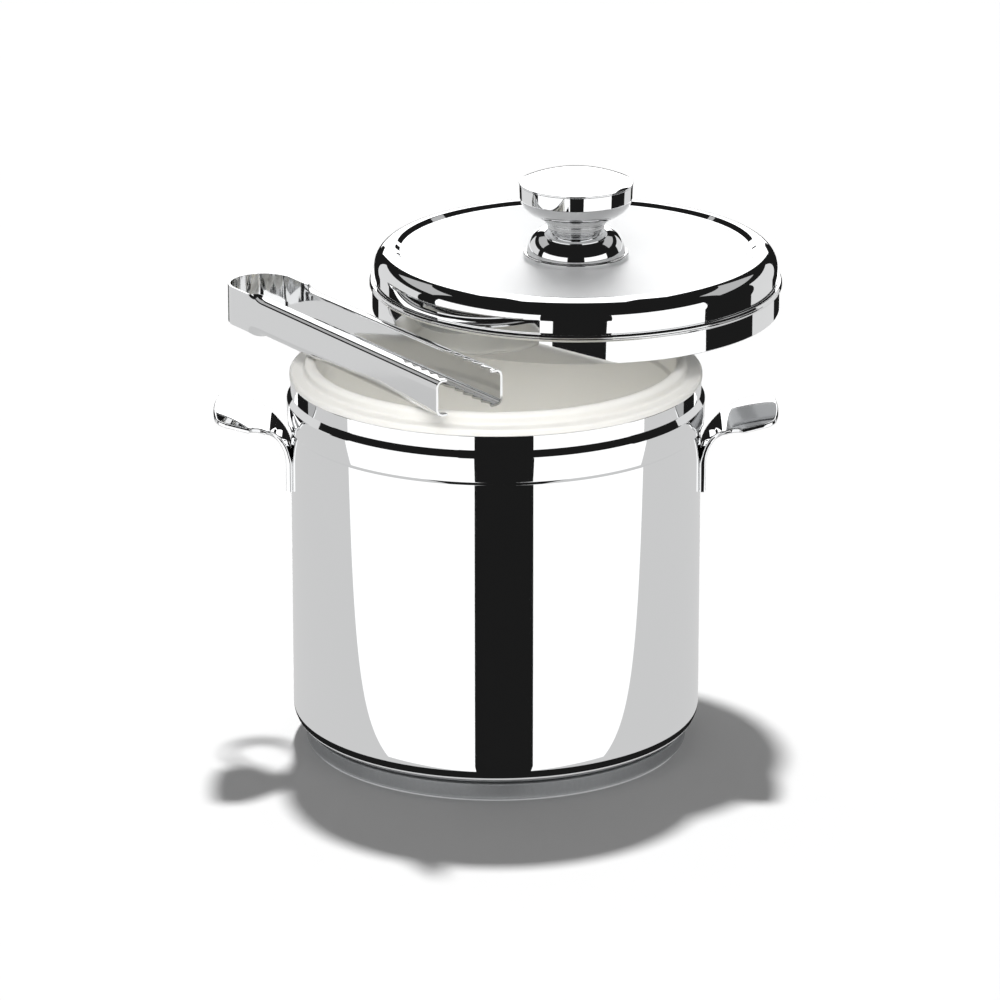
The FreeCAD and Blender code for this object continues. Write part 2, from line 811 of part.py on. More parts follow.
def make_tongs_arm(label, side):
    """One channel-shaped arm with a toothed tip. side is -1 in front and +1 behind."""
    body = new_body(label)
    metal = size["tongs_sheet"]
    top = size["arm_height"] / 2
    shoulder = size["arm_shoulder"]
    web = top - shoulder
    flange = size["arm_flange"]
    inside = shoulder - metal
    section = outline(body, f"{label}_section", "YZ_Plane", [
        (0, -web),
        (shoulder, -top, "left", shoulder),
        (flange, -top),
        (flange, -(top - metal)),
        (shoulder, -(top - metal)),
        (metal, -web, "right", inside),
        (metal, web),
        (shoulder, top - metal, "right", inside),
        (flange, top - metal),
        (flange, top),
        (shoulder, top),
        (0, web, "left", shoulder),
    ])
    pad = body.newObject("PartDesign::Pad", f"{label}_pad")
    pad.Profile = section
    drive(pad, "Length", size["arm_length"])
    run_out = outline(body, f"{label}_run_out_plan", "XY_Plane", [
        (-metal, metal),
        (size["arm_run_out"], flange),
        (size["arm_run_out"], flange + metal),
        (-metal, flange + metal),
    ])
    cut_through(body, run_out, f"{label}_run_out")
    cut_teeth(body, label, flange)
    hinge_end = size["bow_leg"] + size["arm_gap"]
    frame = FreeCAD.Placement(
        FreeCAD.Vector(bow_x.value, bow_y.value, tongs_middle.value),
        FreeCAD.Rotation(FreeCAD.Vector(0, 0, 1), tongs_yaw.value),
    )
    start = FreeCAD.Placement(
        FreeCAD.Vector(hinge_end.value, side * size["bow_radius"].value, 0),
        FreeCAD.Rotation(FreeCAD.Vector(0, 0, 1), side * size["arm_splay_deg"].value),
    )
    half_turn = 180 if side > 0 else 0
    roll = FreeCAD.Placement(FreeCAD.Vector(0, 0, 0), FreeCAD.Rotation(FreeCAD.Vector(1, 0, 0), half_turn))
    body.Placement = frame * start * roll


def cut_teeth(body, label, flange):
    """Saw teeth in both flange edges near the tip: one notch, repeated along the arm."""
    pitch = size["tooth_pitch"]
    first = size["arm_length"] - size["tooth_from_tip"]
    notch = outline(body, f"{label}_notch_plan", "XY_Plane", [
        (first, flange),
        (first, flange + size["tooth_depth"]),
        (first - pitch, flange + size["tooth_depth"]),
        (first - pitch, flange),
        (first - size["tooth_lean"], flange - size["tooth_depth"]),
    ])
    pocket = cut_through(body, notch, f"{label}_notch")
    before = body.Shape.Volume
    pattern = body.newObject("PartDesign::LinearPattern", f"{label}_teeth")
    pattern.Originals = [pocket]
    pattern.Direction = (origin_feature(body, "X_Axis"), [""])
    pattern.Reversed = True
    drive(pattern, "Length", pitch * (size["tooth_count"] - 1))
    drive(pattern, "Occurrences", size["tooth_count"])
    body.Tip = pattern
    doc.recompute()
    if body.Shape.Volume >= before:
        raise RuntimeError(f"{label} teeth were not repeated")


# ---------------------------------------------------------------- build, check and write

def check_model():
    """Stops before anything is written if any object failed."""
    for item in doc.Objects:
        if "Invalid" in item.State or "Error" in item.State:
            raise RuntimeError(f"{item.Label} failed: {item.State}")
    for body in sub_parts:
        shape = body.Shape
        if shape.isNull() or not shape.isValid() or len(shape.Solids) != 1:
            raise RuntimeError(f"{body.Label} is not one valid solid")


make_base()
make_outer_shell()
make_inner_liner()
make_insulation()
make_handle("handle_right", 0)
make_handle("handle_left", 180)
make_lid_shell()
make_lid_skirt()
make_lid_inner_pan()
make_lid_insulation()
make_knob_base()
make_knob_neck()
make_knob_bowl()
make_knob_cap()
make_knob_fixing()
make_tongs_bow()
make_tongs_arm("tongs_arm_front", -1)
make_tongs_arm("tongs_arm_back", 1)
doc.recompute()
check_model()

os.makedirs("parts", exist_ok=True)
for sub_part in sub_parts:
    sub_part.Shape.exportStep(f"parts/{sub_part.Label}.step")
    box = sub_part.Shape.BoundBox
    print(
        f"{sub_part.Label:18s} {sub_part.Shape.Volume:10.1f} mm3  "
        f"x {box.XMin:7.1f} {box.XMax:7.1f}  y {box.YMin:7.1f} {box.YMax:7.1f}  "
        f"z {box.ZMin:6.1f} {box.ZMax:6.1f}"
    )
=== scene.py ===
"""Looks of a double-walled ice bucket with its lid lifted aside and its tongs across the rim.

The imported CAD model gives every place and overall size. Outlines are in millimetres, as
(radius, height) corners from the bottom of the piece that they belong to. A corner's third
number is the radius that rounds it.
"""

import json
import math

import bmesh
import bpy
from mathutils import Matrix, Vector


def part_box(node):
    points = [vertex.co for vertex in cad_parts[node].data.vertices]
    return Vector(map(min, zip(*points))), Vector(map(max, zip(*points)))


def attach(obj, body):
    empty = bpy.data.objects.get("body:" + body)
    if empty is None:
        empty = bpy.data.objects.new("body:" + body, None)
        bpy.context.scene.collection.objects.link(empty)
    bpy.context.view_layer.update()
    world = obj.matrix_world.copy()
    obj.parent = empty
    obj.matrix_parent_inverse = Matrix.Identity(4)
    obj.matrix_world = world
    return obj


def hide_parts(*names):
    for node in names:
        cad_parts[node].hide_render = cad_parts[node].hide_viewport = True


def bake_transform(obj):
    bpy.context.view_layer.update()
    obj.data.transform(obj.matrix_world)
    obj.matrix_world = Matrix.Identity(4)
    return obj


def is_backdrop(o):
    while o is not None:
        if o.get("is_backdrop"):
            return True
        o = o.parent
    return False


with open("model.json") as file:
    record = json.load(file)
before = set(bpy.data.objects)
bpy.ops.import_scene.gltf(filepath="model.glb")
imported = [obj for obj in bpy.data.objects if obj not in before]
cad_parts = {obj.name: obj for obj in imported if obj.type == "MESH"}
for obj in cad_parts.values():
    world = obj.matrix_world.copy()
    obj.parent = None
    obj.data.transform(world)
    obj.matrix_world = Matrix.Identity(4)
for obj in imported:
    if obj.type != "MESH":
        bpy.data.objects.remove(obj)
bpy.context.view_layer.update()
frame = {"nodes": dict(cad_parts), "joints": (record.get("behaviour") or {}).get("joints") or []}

MM = 0.001
SECTORS = 192
FINE_SECTORS = 256
ROUNDING_STEPS = 10
FEWEST_STEPS = 3
SHARP_ANGLE = math.radians(32)
NEARLY_ZERO = 1e-6

SHEET = 0.8
HANDLE_SHEET = 1.8
TONGS_SHEET = 1.0


# ---- places from the frame

class Place:
    """Where a round CAD node stands: its axis's lowest point in metres, its radius and height in mm."""

    def __init__(self, node):
        low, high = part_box(node)
        self.foot = Vector(((low.x + high.x) / 2, (low.y + high.y) / 2, low.z))
        self.radius = (high.x - low.x) / 2 / MM
        self.height = (high.z - low.z) / MM


# ---- outlines

def rounded(corners):
    """The outline's points, with each corner that has a rounding turned into an arc."""
    points = []
    count = len(corners)
    for index, corner in enumerate(corners):
        here = Vector(corner[:2])
        if len(corner) == 2:
            points.append(here)
            continue
        before = (Vector(corners[index - 1][:2]) - here).normalized()
        after = (Vector(corners[(index + 1) % count][:2]) - here).normalized()
        half = before.angle(after) / 2
        reach = corner[2] / math.tan(half)
        centre = here + (before + after).normalized() * (corner[2] / math.sin(half))
        first = here + before * reach - centre
        turn = first.angle_signed(here + after * reach - centre)
        steps = max(FEWEST_STEPS, round(abs(turn) / (math.pi / 2) * ROUNDING_STEPS))
        for step in range(steps + 1):
            points.append(centre + Matrix.Rotation(-turn * step / steps, 2) @ first)
    return points


def evenly(start, length, count):
    """The far ends of the equal bands that a length is cut into."""
    return [start + length * step / count for step in range(1, count + 1)]


def swell(start, end, rise, steps):
    """Points strictly between start and end, on an arc that stands out by rise to the right."""
    start = Vector(start)
    end = Vector(end)
    chord = end - start
    half = chord.length / 2
    radius = (half * half + rise * rise) / (2 * rise)
    right = Vector((chord.y, -chord.x)).normalized()
    centre = (start + end) / 2 + right * (rise - radius)
    first = start - centre
    turn = first.angle_signed(end - centre)
    return [tuple(centre + Matrix.Rotation(-turn * step / steps, 2) @ first) for step in range(1, steps)]


def quarter_bow(start, end, steps, upright=False):
    """Points strictly between two ends, on an arc that is level, or upright, at its start."""
    run = end[0] - start[0]
    rise = end[1] - start[1]
    if upright:
        run, rise = rise, run
    radius = (run * run + rise * rise) / (2 * abs(rise))
    sweep = math.asin(abs(run) / radius)
    points = []
    for step in range(1, steps):
        turn = sweep * step / steps
        along = math.copysign(radius * math.sin(turn), run)
        aside = math.copysign(radius * (1 - math.cos(turn)), rise)
        if upright:
            along, aside = aside, along
        points.append((start[0] + along, start[1] + aside))
    return points


# ---- solids of revolution

def segment_normals(points):
    """The outward direction and the length of each side of a closed outline."""
    sides = []
    for index, point in enumerate(points):
        along = points[(index + 1) % len(points)] - point
        sides.append((Vector((along.y, -along.x)).normalized(), along.length))
    return sides


def shared_normal(side, other, on_axis):
    """The shading direction where two sides meet: one direction unless the corner is sharp."""
    if on_axis:
        return Vector((0, math.copysign(1, side[0].y)))
    if side[0].angle(other[0]) > SHARP_ANGLE:
        return side[0]
    return (side[0] * side[1] + other[0] * other[1]).normalized()


def placed(name, mesh):
    """A new object of the mesh, in the scene."""
    piece = bpy.data.objects.new(name, mesh)
    bpy.context.scene.collection.objects.link(piece)
    return piece


def turned(name, origin, corners, sectors=SECTORS):
    """A closed solid of revolution about the vertical through origin, from a closed outline.

    The outline runs anticlockwise. Its shading directions come from the outline itself, so that
    the long smooth walls reflect without ripples.
    """
    points = rounded(corners)
    sides = segment_normals(points)
    vertices = []
    rows = []
    for radius, height in points:
        if radius < NEARLY_ZERO:
            rows.append([len(vertices)] * sectors)
            vertices.append((0, 0, height * MM))
            continue
        rows.append(range(len(vertices), len(vertices) + sectors))
        for sector in range(sectors):
            angle = 2 * math.pi * sector / sectors
            vertices.append((radius * MM * math.cos(angle), radius * MM * math.sin(angle), height * MM))
    faces = []
    normals = []
    for index, point in enumerate(points):
        following = (index + 1) % len(points)
        if point.x < NEARLY_ZERO and points[following].x < NEARLY_ZERO:
            continue
        low = shared_normal(sides[index], sides[index - 1], point.x < NEARLY_ZERO)
        high = shared_normal(sides[index], sides[following], points[following].x < NEARLY_ZERO)
        for sector in range(sectors):
            across = (sector + 1) % sectors
            loop = [(rows[index][sector], low, sector), (rows[index][across], low, across),
                    (rows[following][across], high, across), (rows[following][sector], high, sector)]
            kept = [corner for place, corner in enumerate(loop) if corner[0] != loop[place - 1][0]]
            faces.append([corner[0] for corner in kept])
            for _, normal, spoke in kept:
                angle = 2 * math.pi * spoke / sectors
                normals.append((normal.x * math.cos(angle), normal.x * math.sin(angle), normal.y))
    mesh = bpy.data.meshes.new(name)
    mesh.from_pydata(vertices, [], faces)
    mesh.shade_smooth()
    mesh.normals_split_custom_set(normals)
    piece = placed(name, mesh)
    piece.location = origin
    return piece


def stands_for(piece, node, body, material):
    """Puts the piece in the place of a CAD node, on the same body and with its finish."""
    piece.data.materials.append(material)
    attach(piece, body)
    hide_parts(node)


# ---- materials

def new_material(name, colour, metallic, roughness):
    """A new material, its node tree and its shader."""
    material = bpy.data.materials.new(name)
    material.use_nodes = True
    tree = material.node_tree
    shader = tree.nodes["Principled BSDF"]
    shader.inputs["Base Color"].default_value = (*colour, 1)
    shader.inputs["Metallic"].default_value = metallic
    shader.inputs["Roughness"].default_value = roughness
    return material, tree, shader


def noise(tree, scale, detail=2.0, stretch=(1, 1, 1)):
    """A noise texture in the piece's own space, in metres, stretched along its axes."""
    place = tree.nodes.new("ShaderNodeTexCoord")
    mapping = tree.nodes.new("ShaderNodeMapping")
    mapping.inputs["Scale"].default_value = stretch
    texture = tree.nodes.new("ShaderNodeTexNoise")
    texture.inputs["Scale"].default_value = scale
    texture.inputs["Detail"].default_value = detail
    tree.links.new(place.outputs["Object"], mapping.inputs["Vector"])
    tree.links.new(mapping.outputs["Vector"], texture.inputs["Vector"])
    return texture.outputs["Fac"]


def spread(tree, value, low, high):
    """Maps a texture value's usual range, 0.25 to 0.75, to the range from low to high."""
    node = tree.nodes.new("ShaderNodeMapRange")
    node.inputs["From Min"].default_value = 0.25
    node.inputs["From Max"].default_value = 0.75
    node.inputs["To Min"].default_value = low
    node.inputs["To Max"].default_value = high
    tree.links.new(value, node.inputs["Value"])
    return node.outputs["Result"]


def bump(tree, shader, value, strength, distance):
    """Adds relief of the given height in metres to the shader."""
    node = tree.nodes.new("ShaderNodeBump")
    node.inputs["Strength"].default_value = strength
    node.inputs["Distance"].default_value = distance
    tree.links.new(value, node.inputs["Height"])
    earlier = shader.inputs["Normal"].links
    if earlier:
        tree.links.new(earlier[0].from_socket, node.inputs["Normal"])
    tree.links.new(node.outputs["Normal"], shader.inputs["Normal"])


def tint(tree, shader, value, first, second):
    """Varies the base colour between two colours."""
    node = tree.nodes.new("ShaderNodeMix")
    node.data_type = "RGBA"
    node.inputs["A"].default_value = (*first, 1)
    node.inputs["B"].default_value = (*second, 1)
    tree.links.new(value, node.inputs["Factor"])
    tree.links.new(node.outputs["Result"], shader.inputs["Base Color"])


WAVE_PERIOD = math.pi / 10  # of a wave texture at scale 1


def rings(tree, pitch):
    """Fine turned grooves round the piece's own axis, pitch metres apart."""
    place = tree.nodes.new("ShaderNodeTexCoord")
    wave = tree.nodes.new("ShaderNodeTexWave")
    wave.wave_type = "RINGS"
    wave.rings_direction = "Z"
    wave.inputs["Scale"].default_value = WAVE_PERIOD / pitch
    wave.inputs["Distortion"].default_value = 1.2
    wave.inputs["Detail"].default_value = 2.0
    tree.links.new(place.outputs["Object"], wave.inputs["Vector"])
    return wave.outputs["Fac"]


def mirror_steel(name, colour, roughness):
    """Polished stainless steel: clear reflections, faint polishing haze and hairlines."""
    material, tree, shader = new_material(name, colour, 1.0, roughness)
    haze = noise(tree, scale=38.0, detail=4.0)
    tree.links.new(spread(tree, haze, low=roughness * 0.6, high=roughness * 1.7), shader.inputs["Roughness"])
    tint(tree, shader, noise(tree, scale=14.0), colour, [channel * 0.97 for channel in colour])
    hairlines = noise(tree, scale=900.0, detail=3.0, stretch=(1, 1, 0.06))
    bump(tree, shader, hairlines, strength=0.05, distance=0.000004)
    return material


def satin_steel():
    """Stainless steel with a fine circular grain."""
    material, tree, shader = new_material(
        "satin_steel_look", (0.62, 0.63, 0.64), metallic=1.0, roughness=0.3)
    grain = rings(tree, pitch=0.0006)
    tree.links.new(spread(tree, grain, low=0.24, high=0.38), shader.inputs["Roughness"])
    bump(tree, shader, grain, strength=0.15, distance=0.00002)
    return material


def satin_dish():
    """Pale steel of the lid's dish, with a soft circular grain."""
    material, tree, shader = new_material(
        "satin_dish_look", (0.9, 0.905, 0.91), metallic=0.6, roughness=0.5)
    grain = rings(tree, pitch=0.0007)
    tree.links.new(spread(tree, grain, low=0.46, high=0.54), shader.inputs["Roughness"])
    tint(tree, shader, noise(tree, scale=30.0, detail=3.0), (0.91, 0.915, 0.92), (0.88, 0.885, 0.89))
    bump(tree, shader, grain, strength=0.05, distance=0.00001)
    return material


def matt_aluminium():
    """Cast aluminium with a matt skin and faint turning marks."""
    material, tree, shader = new_material(
        "matt_aluminium_look", (0.4, 0.41, 0.42), metallic=0.75, roughness=0.55)
    grain = noise(tree, scale=700.0, detail=6.0)
    tint(tree, shader, noise(tree, scale=60.0, detail=6.0), (0.36, 0.37, 0.38), (0.46, 0.47, 0.48))
    tree.links.new(spread(tree, grain, low=0.48, high=0.68), shader.inputs["Roughness"])
    bump(tree, shader, grain, strength=0.35, distance=0.00005)
    bump(tree, shader, rings(tree, pitch=0.0009), strength=0.12, distance=0.00003)
    return material


def white_plastic():
    """Satin injection-moulded plastic, slightly warm, with a fine skin texture."""
    material, tree, shader = new_material(
        "white_plastic_look", (0.83, 0.82, 0.78), metallic=0.0, roughness=0.38)
    skin = noise(tree, scale=1400.0, detail=4.0)
    tint(tree, shader, noise(tree, scale=22.0), (0.85, 0.84, 0.8), (0.81, 0.8, 0.765))
    blotches = noise(tree, scale=90.0, detail=5.0)
    tree.links.new(spread(tree, blotches, low=0.32, high=0.46), shader.inputs["Roughness"])
    shader.inputs["Subsurface Weight"].default_value = 0.08
    shader.inputs["Subsurface Radius"].default_value = (0.002, 0.0018, 0.0014)
    bump(tree, shader, skin, strength=0.12, distance=0.00003)
    bump(tree, shader, noise(tree, scale=30.0), strength=0.1, distance=0.0003)
    return material


def bead_foam():
    """Expanded foam: soft white beads pressed together."""
    material, tree, shader = new_material(
        "bead_foam_look", (0.86, 0.86, 0.84), metallic=0.0, roughness=0.9)
    place = tree.nodes.new("ShaderNodeTexCoord")
    beads = tree.nodes.new("ShaderNodeTexVoronoi")
    beads.inputs["Scale"].default_value = 320.0
    tree.links.new(place.outputs["Object"], beads.inputs["Vector"])
    tint(tree, shader, beads.outputs["Distance"], (0.9, 0.9, 0.88), (0.74, 0.74, 0.72))
    bump(tree, shader, beads.outputs["Distance"], strength=0.6, distance=0.0006)
    return material


STEEL = mirror_steel("polished_steel_look", (0.9, 0.905, 0.91), roughness=0.018)
TONGS_STEEL = mirror_steel("tongs_steel_look", (0.82, 0.825, 0.83), roughness=0.06)
SATIN = satin_steel()
DISH = satin_dish()
ALUMINIUM = matt_aluminium()
PLASTIC = white_plastic()
FOAM = bead_foam()


# ---- bucket

shell = Place("outer_shell")
BEAD_BULGE = 1.5
SHELL_RADIUS = shell.radius - BEAD_BULGE
LIP_INSET = 5.5
LIP_WIDTH = 4.5
LIP_HEIGHT = 4.5


def make_shell():
    """Drawn body: rounded foot, tall plain wall, rolled bead and straight collar."""
    foot_rounding = 9.0
    inner_rounding = 1.5
    bead_from_rim = 19.5
    bead_rise = 11.0
    bead_fall = 2.8
    crest_flat = 0.2
    crease_out = 1.15
    crease_rise = 1.5
    inner = SHELL_RADIUS - SHEET
    crest = SHELL_RADIUS + BEAD_BULGE
    low = shell.height - bead_from_rim
    widest = low + bead_rise
    high = widest + bead_fall
    crease = (SHELL_RADIUS + crease_out, low + crease_rise)
    swelling = quarter_bow((crest, widest), crease, steps=12, upright=True)[::-1]
    outside = [(0, 0), (SHELL_RADIUS, 0, foot_rounding), (SHELL_RADIUS, low, 0.2), (*crease, 0.35),
               *swelling, (crest, widest), (crest, widest + crest_flat, 0.6), (SHELL_RADIUS, high, 0.3),
               (SHELL_RADIUS, shell.height, 0.25)]
    inside = [(inner, shell.height, 0.25), (inner, high), (crest - SHEET, widest, inner_rounding),
              (inner, low, inner_rounding), (inner, SHEET, foot_rounding - SHEET), (0, SHEET)]
    piece = turned("shell_wall", shell.foot, outside + inside, sectors=FINE_SECTORS)
    stands_for(piece, "outer_shell", "bucket", STEEL)


def make_liner():
    """Moulded liner: tapered cup, thin flange on the shell's rim and a raised soft lip."""
    place = Place("inner_liner")
    top = place.height
    flange_sheet = 2.7
    flange = top - LIP_HEIGHT
    rim = flange - flange_sheet
    wall = 2.1
    taper = 4.0
    floor_curve = 12.0
    lip_rounding = 2.1
    lip_outer = SHELL_RADIUS - LIP_INSET
    lip_inner = lip_outer - LIP_WIDTH
    floor_radius = lip_inner - taper
    rib_gap = 0.15
    rib_width = 1.6
    rib_depth = 4.0
    rib_outer = SHELL_RADIUS - SHEET - rib_gap
    rib_inner = rib_outer - rib_width
    rib_bottom = rim - rib_depth
    step_width = 1.0
    step_top = 6.0
    step_bottom = 7.5
    throat = lip_inner - 0.1
    gate_radius = 20.0
    gate_slope = 2.0
    gate_floor = wall - 0.5
    under = [(0, 0), (floor_radius + wall, 0, floor_curve + wall), (lip_inner + wall, rim, 1.0),
             (rib_inner, rim, 0.5), (rib_inner, rib_bottom, 0.3), (rib_outer, rib_bottom, 0.3),
             (rib_outer, rim, 0.1), (place.radius, rim, 0.4)]
    over = [(place.radius, flange, 1.2), (lip_outer, flange, 1.3), (lip_outer, top, lip_rounding),
            (lip_inner, top, lip_rounding), (throat, flange - step_top, 2.0),
            (throat - step_width, flange - step_bottom, 2.0), (floor_radius, wall, floor_curve),
            (gate_radius + gate_slope, wall, 1.0), (gate_radius, gate_floor, 1.0), (0, gate_floor)]
    piece = turned("liner_cup", place.foot, under + over)
    stands_for(piece, "inner_liner", "bucket", PLASTIC)


def make_base():
    """Thick matt core with a rounded edge, and the plate under it with its pressed grooves."""
    core = Place("base_core")
    corners = [(0, 0), (core.radius, 0, 1.6), (core.radius, core.height, 0.5), (0, core.height)]
    piece = turned("base_disc", core.foot, corners, sectors=FINE_SECTORS)
    stands_for(piece, "base_core", "bucket", ALUMINIUM)

    plate = Place("base_plate")
    depth = 0.3
    width = 2.5
    flank = 0.5
    grooves = []
    for radius in (18.0, 34.0, 50.0):
        far = radius + width
        grooves += [(radius, 0), (radius + flank, depth, 0.3), (far - flank, depth, 0.3), (far, 0)]
    top = plate.height
    corners = [(0, 0), *grooves, (plate.radius, 0, 0.35), (plate.radius, top, 0.3), (0, top)]
    piece = turned("base_cover", plate.foot, corners)
    stands_for(piece, "base_plate", "bucket", SATIN)


# ---- handles

LEG_LENGTH = 11.6
BEND_RADIUS = 15.0
SLOPE = math.radians(14.4)
LEG_HALF = 10.0
TAB_CORNER = 5.0
TAB_END_BULGE = 1.2
NECK_START = 3.0
NECK_LENGTH = 14.0
NECK_BOW = 1.1
EDGE_ROUNDING = 0.55
SEAT_FADE = 3.0
LEG_BANDS = 6
BEND_BANDS = 28
TAB_BANDS = 8
CROSS_BANDS = 9
CROSS_BAND_WIDTH = 2.0
CUT_TOLERANCE = 1e-5
MIDDLE_RADIUS = BEND_RADIUS + HANDLE_SHEET / 2
BEND_LENGTH = MIDDLE_RADIUS * (math.pi / 2 - SLOPE)


def strap_point(run, off, foot):
    """A point of the bent strap seen from its side: run mm along its middle, off mm from it.

    off is above 0 on the wall's side, which the bend turns up. Returns the distance from the
    bucket's axis and the height.
    """
    middle = SHELL_RADIUS + HANDLE_SHEET / 2
    if run <= LEG_LENGTH:
        return middle - off, foot + run
    centre = middle + MIDDLE_RADIUS
    away = MIDDLE_RADIUS + off
    if run <= LEG_LENGTH + BEND_LENGTH:
        angle = (run - LEG_LENGTH) / MIDDLE_RADIUS
        return centre - away * math.cos(angle), foot + LEG_LENGTH + away * math.sin(angle)
    along = run - LEG_LENGTH - BEND_LENGTH
    start = (centre - away * math.sin(SLOPE), foot + LEG_LENGTH + away * math.cos(SLOPE))
    return start[0] + along * math.cos(SLOPE), start[1] + along * math.sin(SLOPE)


def strap_outline(total, half_tab, flare_start):
    """The strap laid flat: half of its outline as (run, half width) points, foot to tip."""
    flare_end = flare_start + NECK_LENGTH
    middle = (flare_start + NECK_LENGTH / 2, (LEG_HALF + half_tab) / 2)
    lower = swell((flare_start, LEG_HALF), middle, NECK_BOW, steps=8)
    upper = swell((flare_end, half_tab), middle, -NECK_BOW, steps=8)[::-1]
    neck = [(0, LEG_HALF), (flare_start, LEG_HALF), *lower, middle, *upper, (flare_end, half_tab)]
    corner = []
    corner_run = total - TAB_END_BULGE - TAB_CORNER
    span = half_tab - TAB_CORNER
    corner_steps = 8
    for step in range(corner_steps + 1):
        angle = math.pi / 2 * step / corner_steps
        corner.append((corner_run + TAB_CORNER * math.sin(angle), span + TAB_CORNER * math.cos(angle)))
    end = []
    end_steps = 6
    for step in range(1, end_steps + 1):
        across = span * (1 - step / end_steps)
        end.append((total - TAB_END_BULGE * (across / span) ** 2, across))
    return neck + corner + end


def strap_blank(flat):
    """The strap before it is bent: a flat sheet of the given outline, with rounded edges."""
    work = bmesh.new()
    corners = [work.verts.new((run, across, -HANDLE_SHEET / 2)) for run, across in flat]
    face = work.faces.new(corners)
    grown = bmesh.ops.extrude_face_region(work, geom=[face])["geom"]
    raised = [item for item in grown if isinstance(item, bmesh.types.BMVert)]
    bmesh.ops.translate(work, verts=raised, vec=(0, 0, HANDLE_SHEET))
    bmesh.ops.recalc_face_normals(work, faces=work.faces)
    rim = [edge for edge in work.edges if abs(edge.verts[0].co.z - edge.verts[1].co.z) < NEARLY_ZERO]
    bmesh.ops.bevel(work, geom=rim, offset=EDGE_ROUNDING, segments=4, profile=0.5, affect="EDGES",
                    offset_type="OFFSET", clamp_overlap=True)
    return work


def slice_mesh(work, place, direction):
    """Adds an edge wherever the plane through place crosses a face."""
    everything = list(work.verts) + list(work.edges) + list(work.faces)
    bmesh.ops.bisect_plane(work, geom=everything, dist=CUT_TOLERANCE, plane_co=place, plane_no=direction)


def bend_strap(work, side, foot):
    """Bends the flat strap to its side view, with the leg's back hollowed to the round wall."""
    for vertex in work.verts:
        run, across, off = vertex.co
        away, height = strap_point(run, off, foot)
        seated = max(0.0, min(1.0, 1 - (run - LEG_LENGTH) / SEAT_FADE))
        hollow = SHELL_RADIUS - math.sqrt(SHELL_RADIUS ** 2 - across ** 2)
        away -= hollow * seated * max(0.0, off / (HANDLE_SHEET / 2))
        vertex.co = (side * away * MM, side * across * MM, height * MM)


def make_handle(name, node, side):
    """One handle: a flat bevelled strap, cut into narrow bands and bent to its side view."""
    low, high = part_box(node)
    half_tab = high.y / MM
    tip = max(abs(low.x), abs(high.x)) / MM
    tab_start = SHELL_RADIUS + HANDLE_SHEET + BEND_RADIUS * (1 - math.sin(SLOPE))
    reach = (tip - tab_start) / math.cos(SLOPE)
    total = LEG_LENGTH + BEND_LENGTH + reach
    flare_start = LEG_LENGTH + MIDDLE_RADIUS * math.acos(1 - NECK_START / MIDDLE_RADIUS)
    half = strap_outline(total, half_tab, flare_start)
    work = strap_blank(half + [(run, -across) for run, across in half[-2::-1]])
    cuts = evenly(0, LEG_LENGTH, LEG_BANDS) + evenly(LEG_LENGTH, BEND_LENGTH, BEND_BANDS)
    cuts += evenly(LEG_LENGTH + BEND_LENGTH, reach, TAB_BANDS)[:-1]
    for cut in cuts:
        slice_mesh(work, (cut, 0, 0), (1, 0, 0))
    for band in range(-CROSS_BANDS, CROSS_BANDS + 1):
        slice_mesh(work, (0, band * CROSS_BAND_WIDTH, 0), (0, 1, 0))
    bend_strap(work, side, low.z / MM)
    face_outward(work)
    mesh = bpy.data.meshes.new(name)
    work.to_mesh(mesh)
    work.free()
    mesh.shade_smooth()
    mesh.set_sharp_from_angle(angle=SHARP_ANGLE)
    piece = placed(name, mesh)
    weigh_normals(piece)
    stands_for(piece, node, "bucket", STEEL)


def face_outward(work):
    """Turns every face of a closed mesh outward."""
    bmesh.ops.recalc_face_normals(work, faces=work.faces)
    if work.calc_volume(signed=True) < 0:
        bmesh.ops.reverse_faces(work, faces=work.faces)


def weigh_normals(piece):
    """Lets the broad faces set the shading, so that they reflect flat."""
    modifier = piece.modifiers.new("broad_faces_flat", "WEIGHTED_NORMAL")
    modifier.keep_sharp = True
    modifier.weight = 80


# ---- lid

skirt = Place("lid_skirt")
SEAM_BULGE = 1.1
SEAM_HEIGHT = 2.6
SKIRT_RADIUS = skirt.radius - SEAM_BULGE
SKIRT_HEIGHT = skirt.height - SEAM_HEIGHT
COVER_RADIUS = SKIRT_RADIUS - SHEET
KNOB_FOOT_RADIUS = 20.9
SCREW_HOLE = 2.3


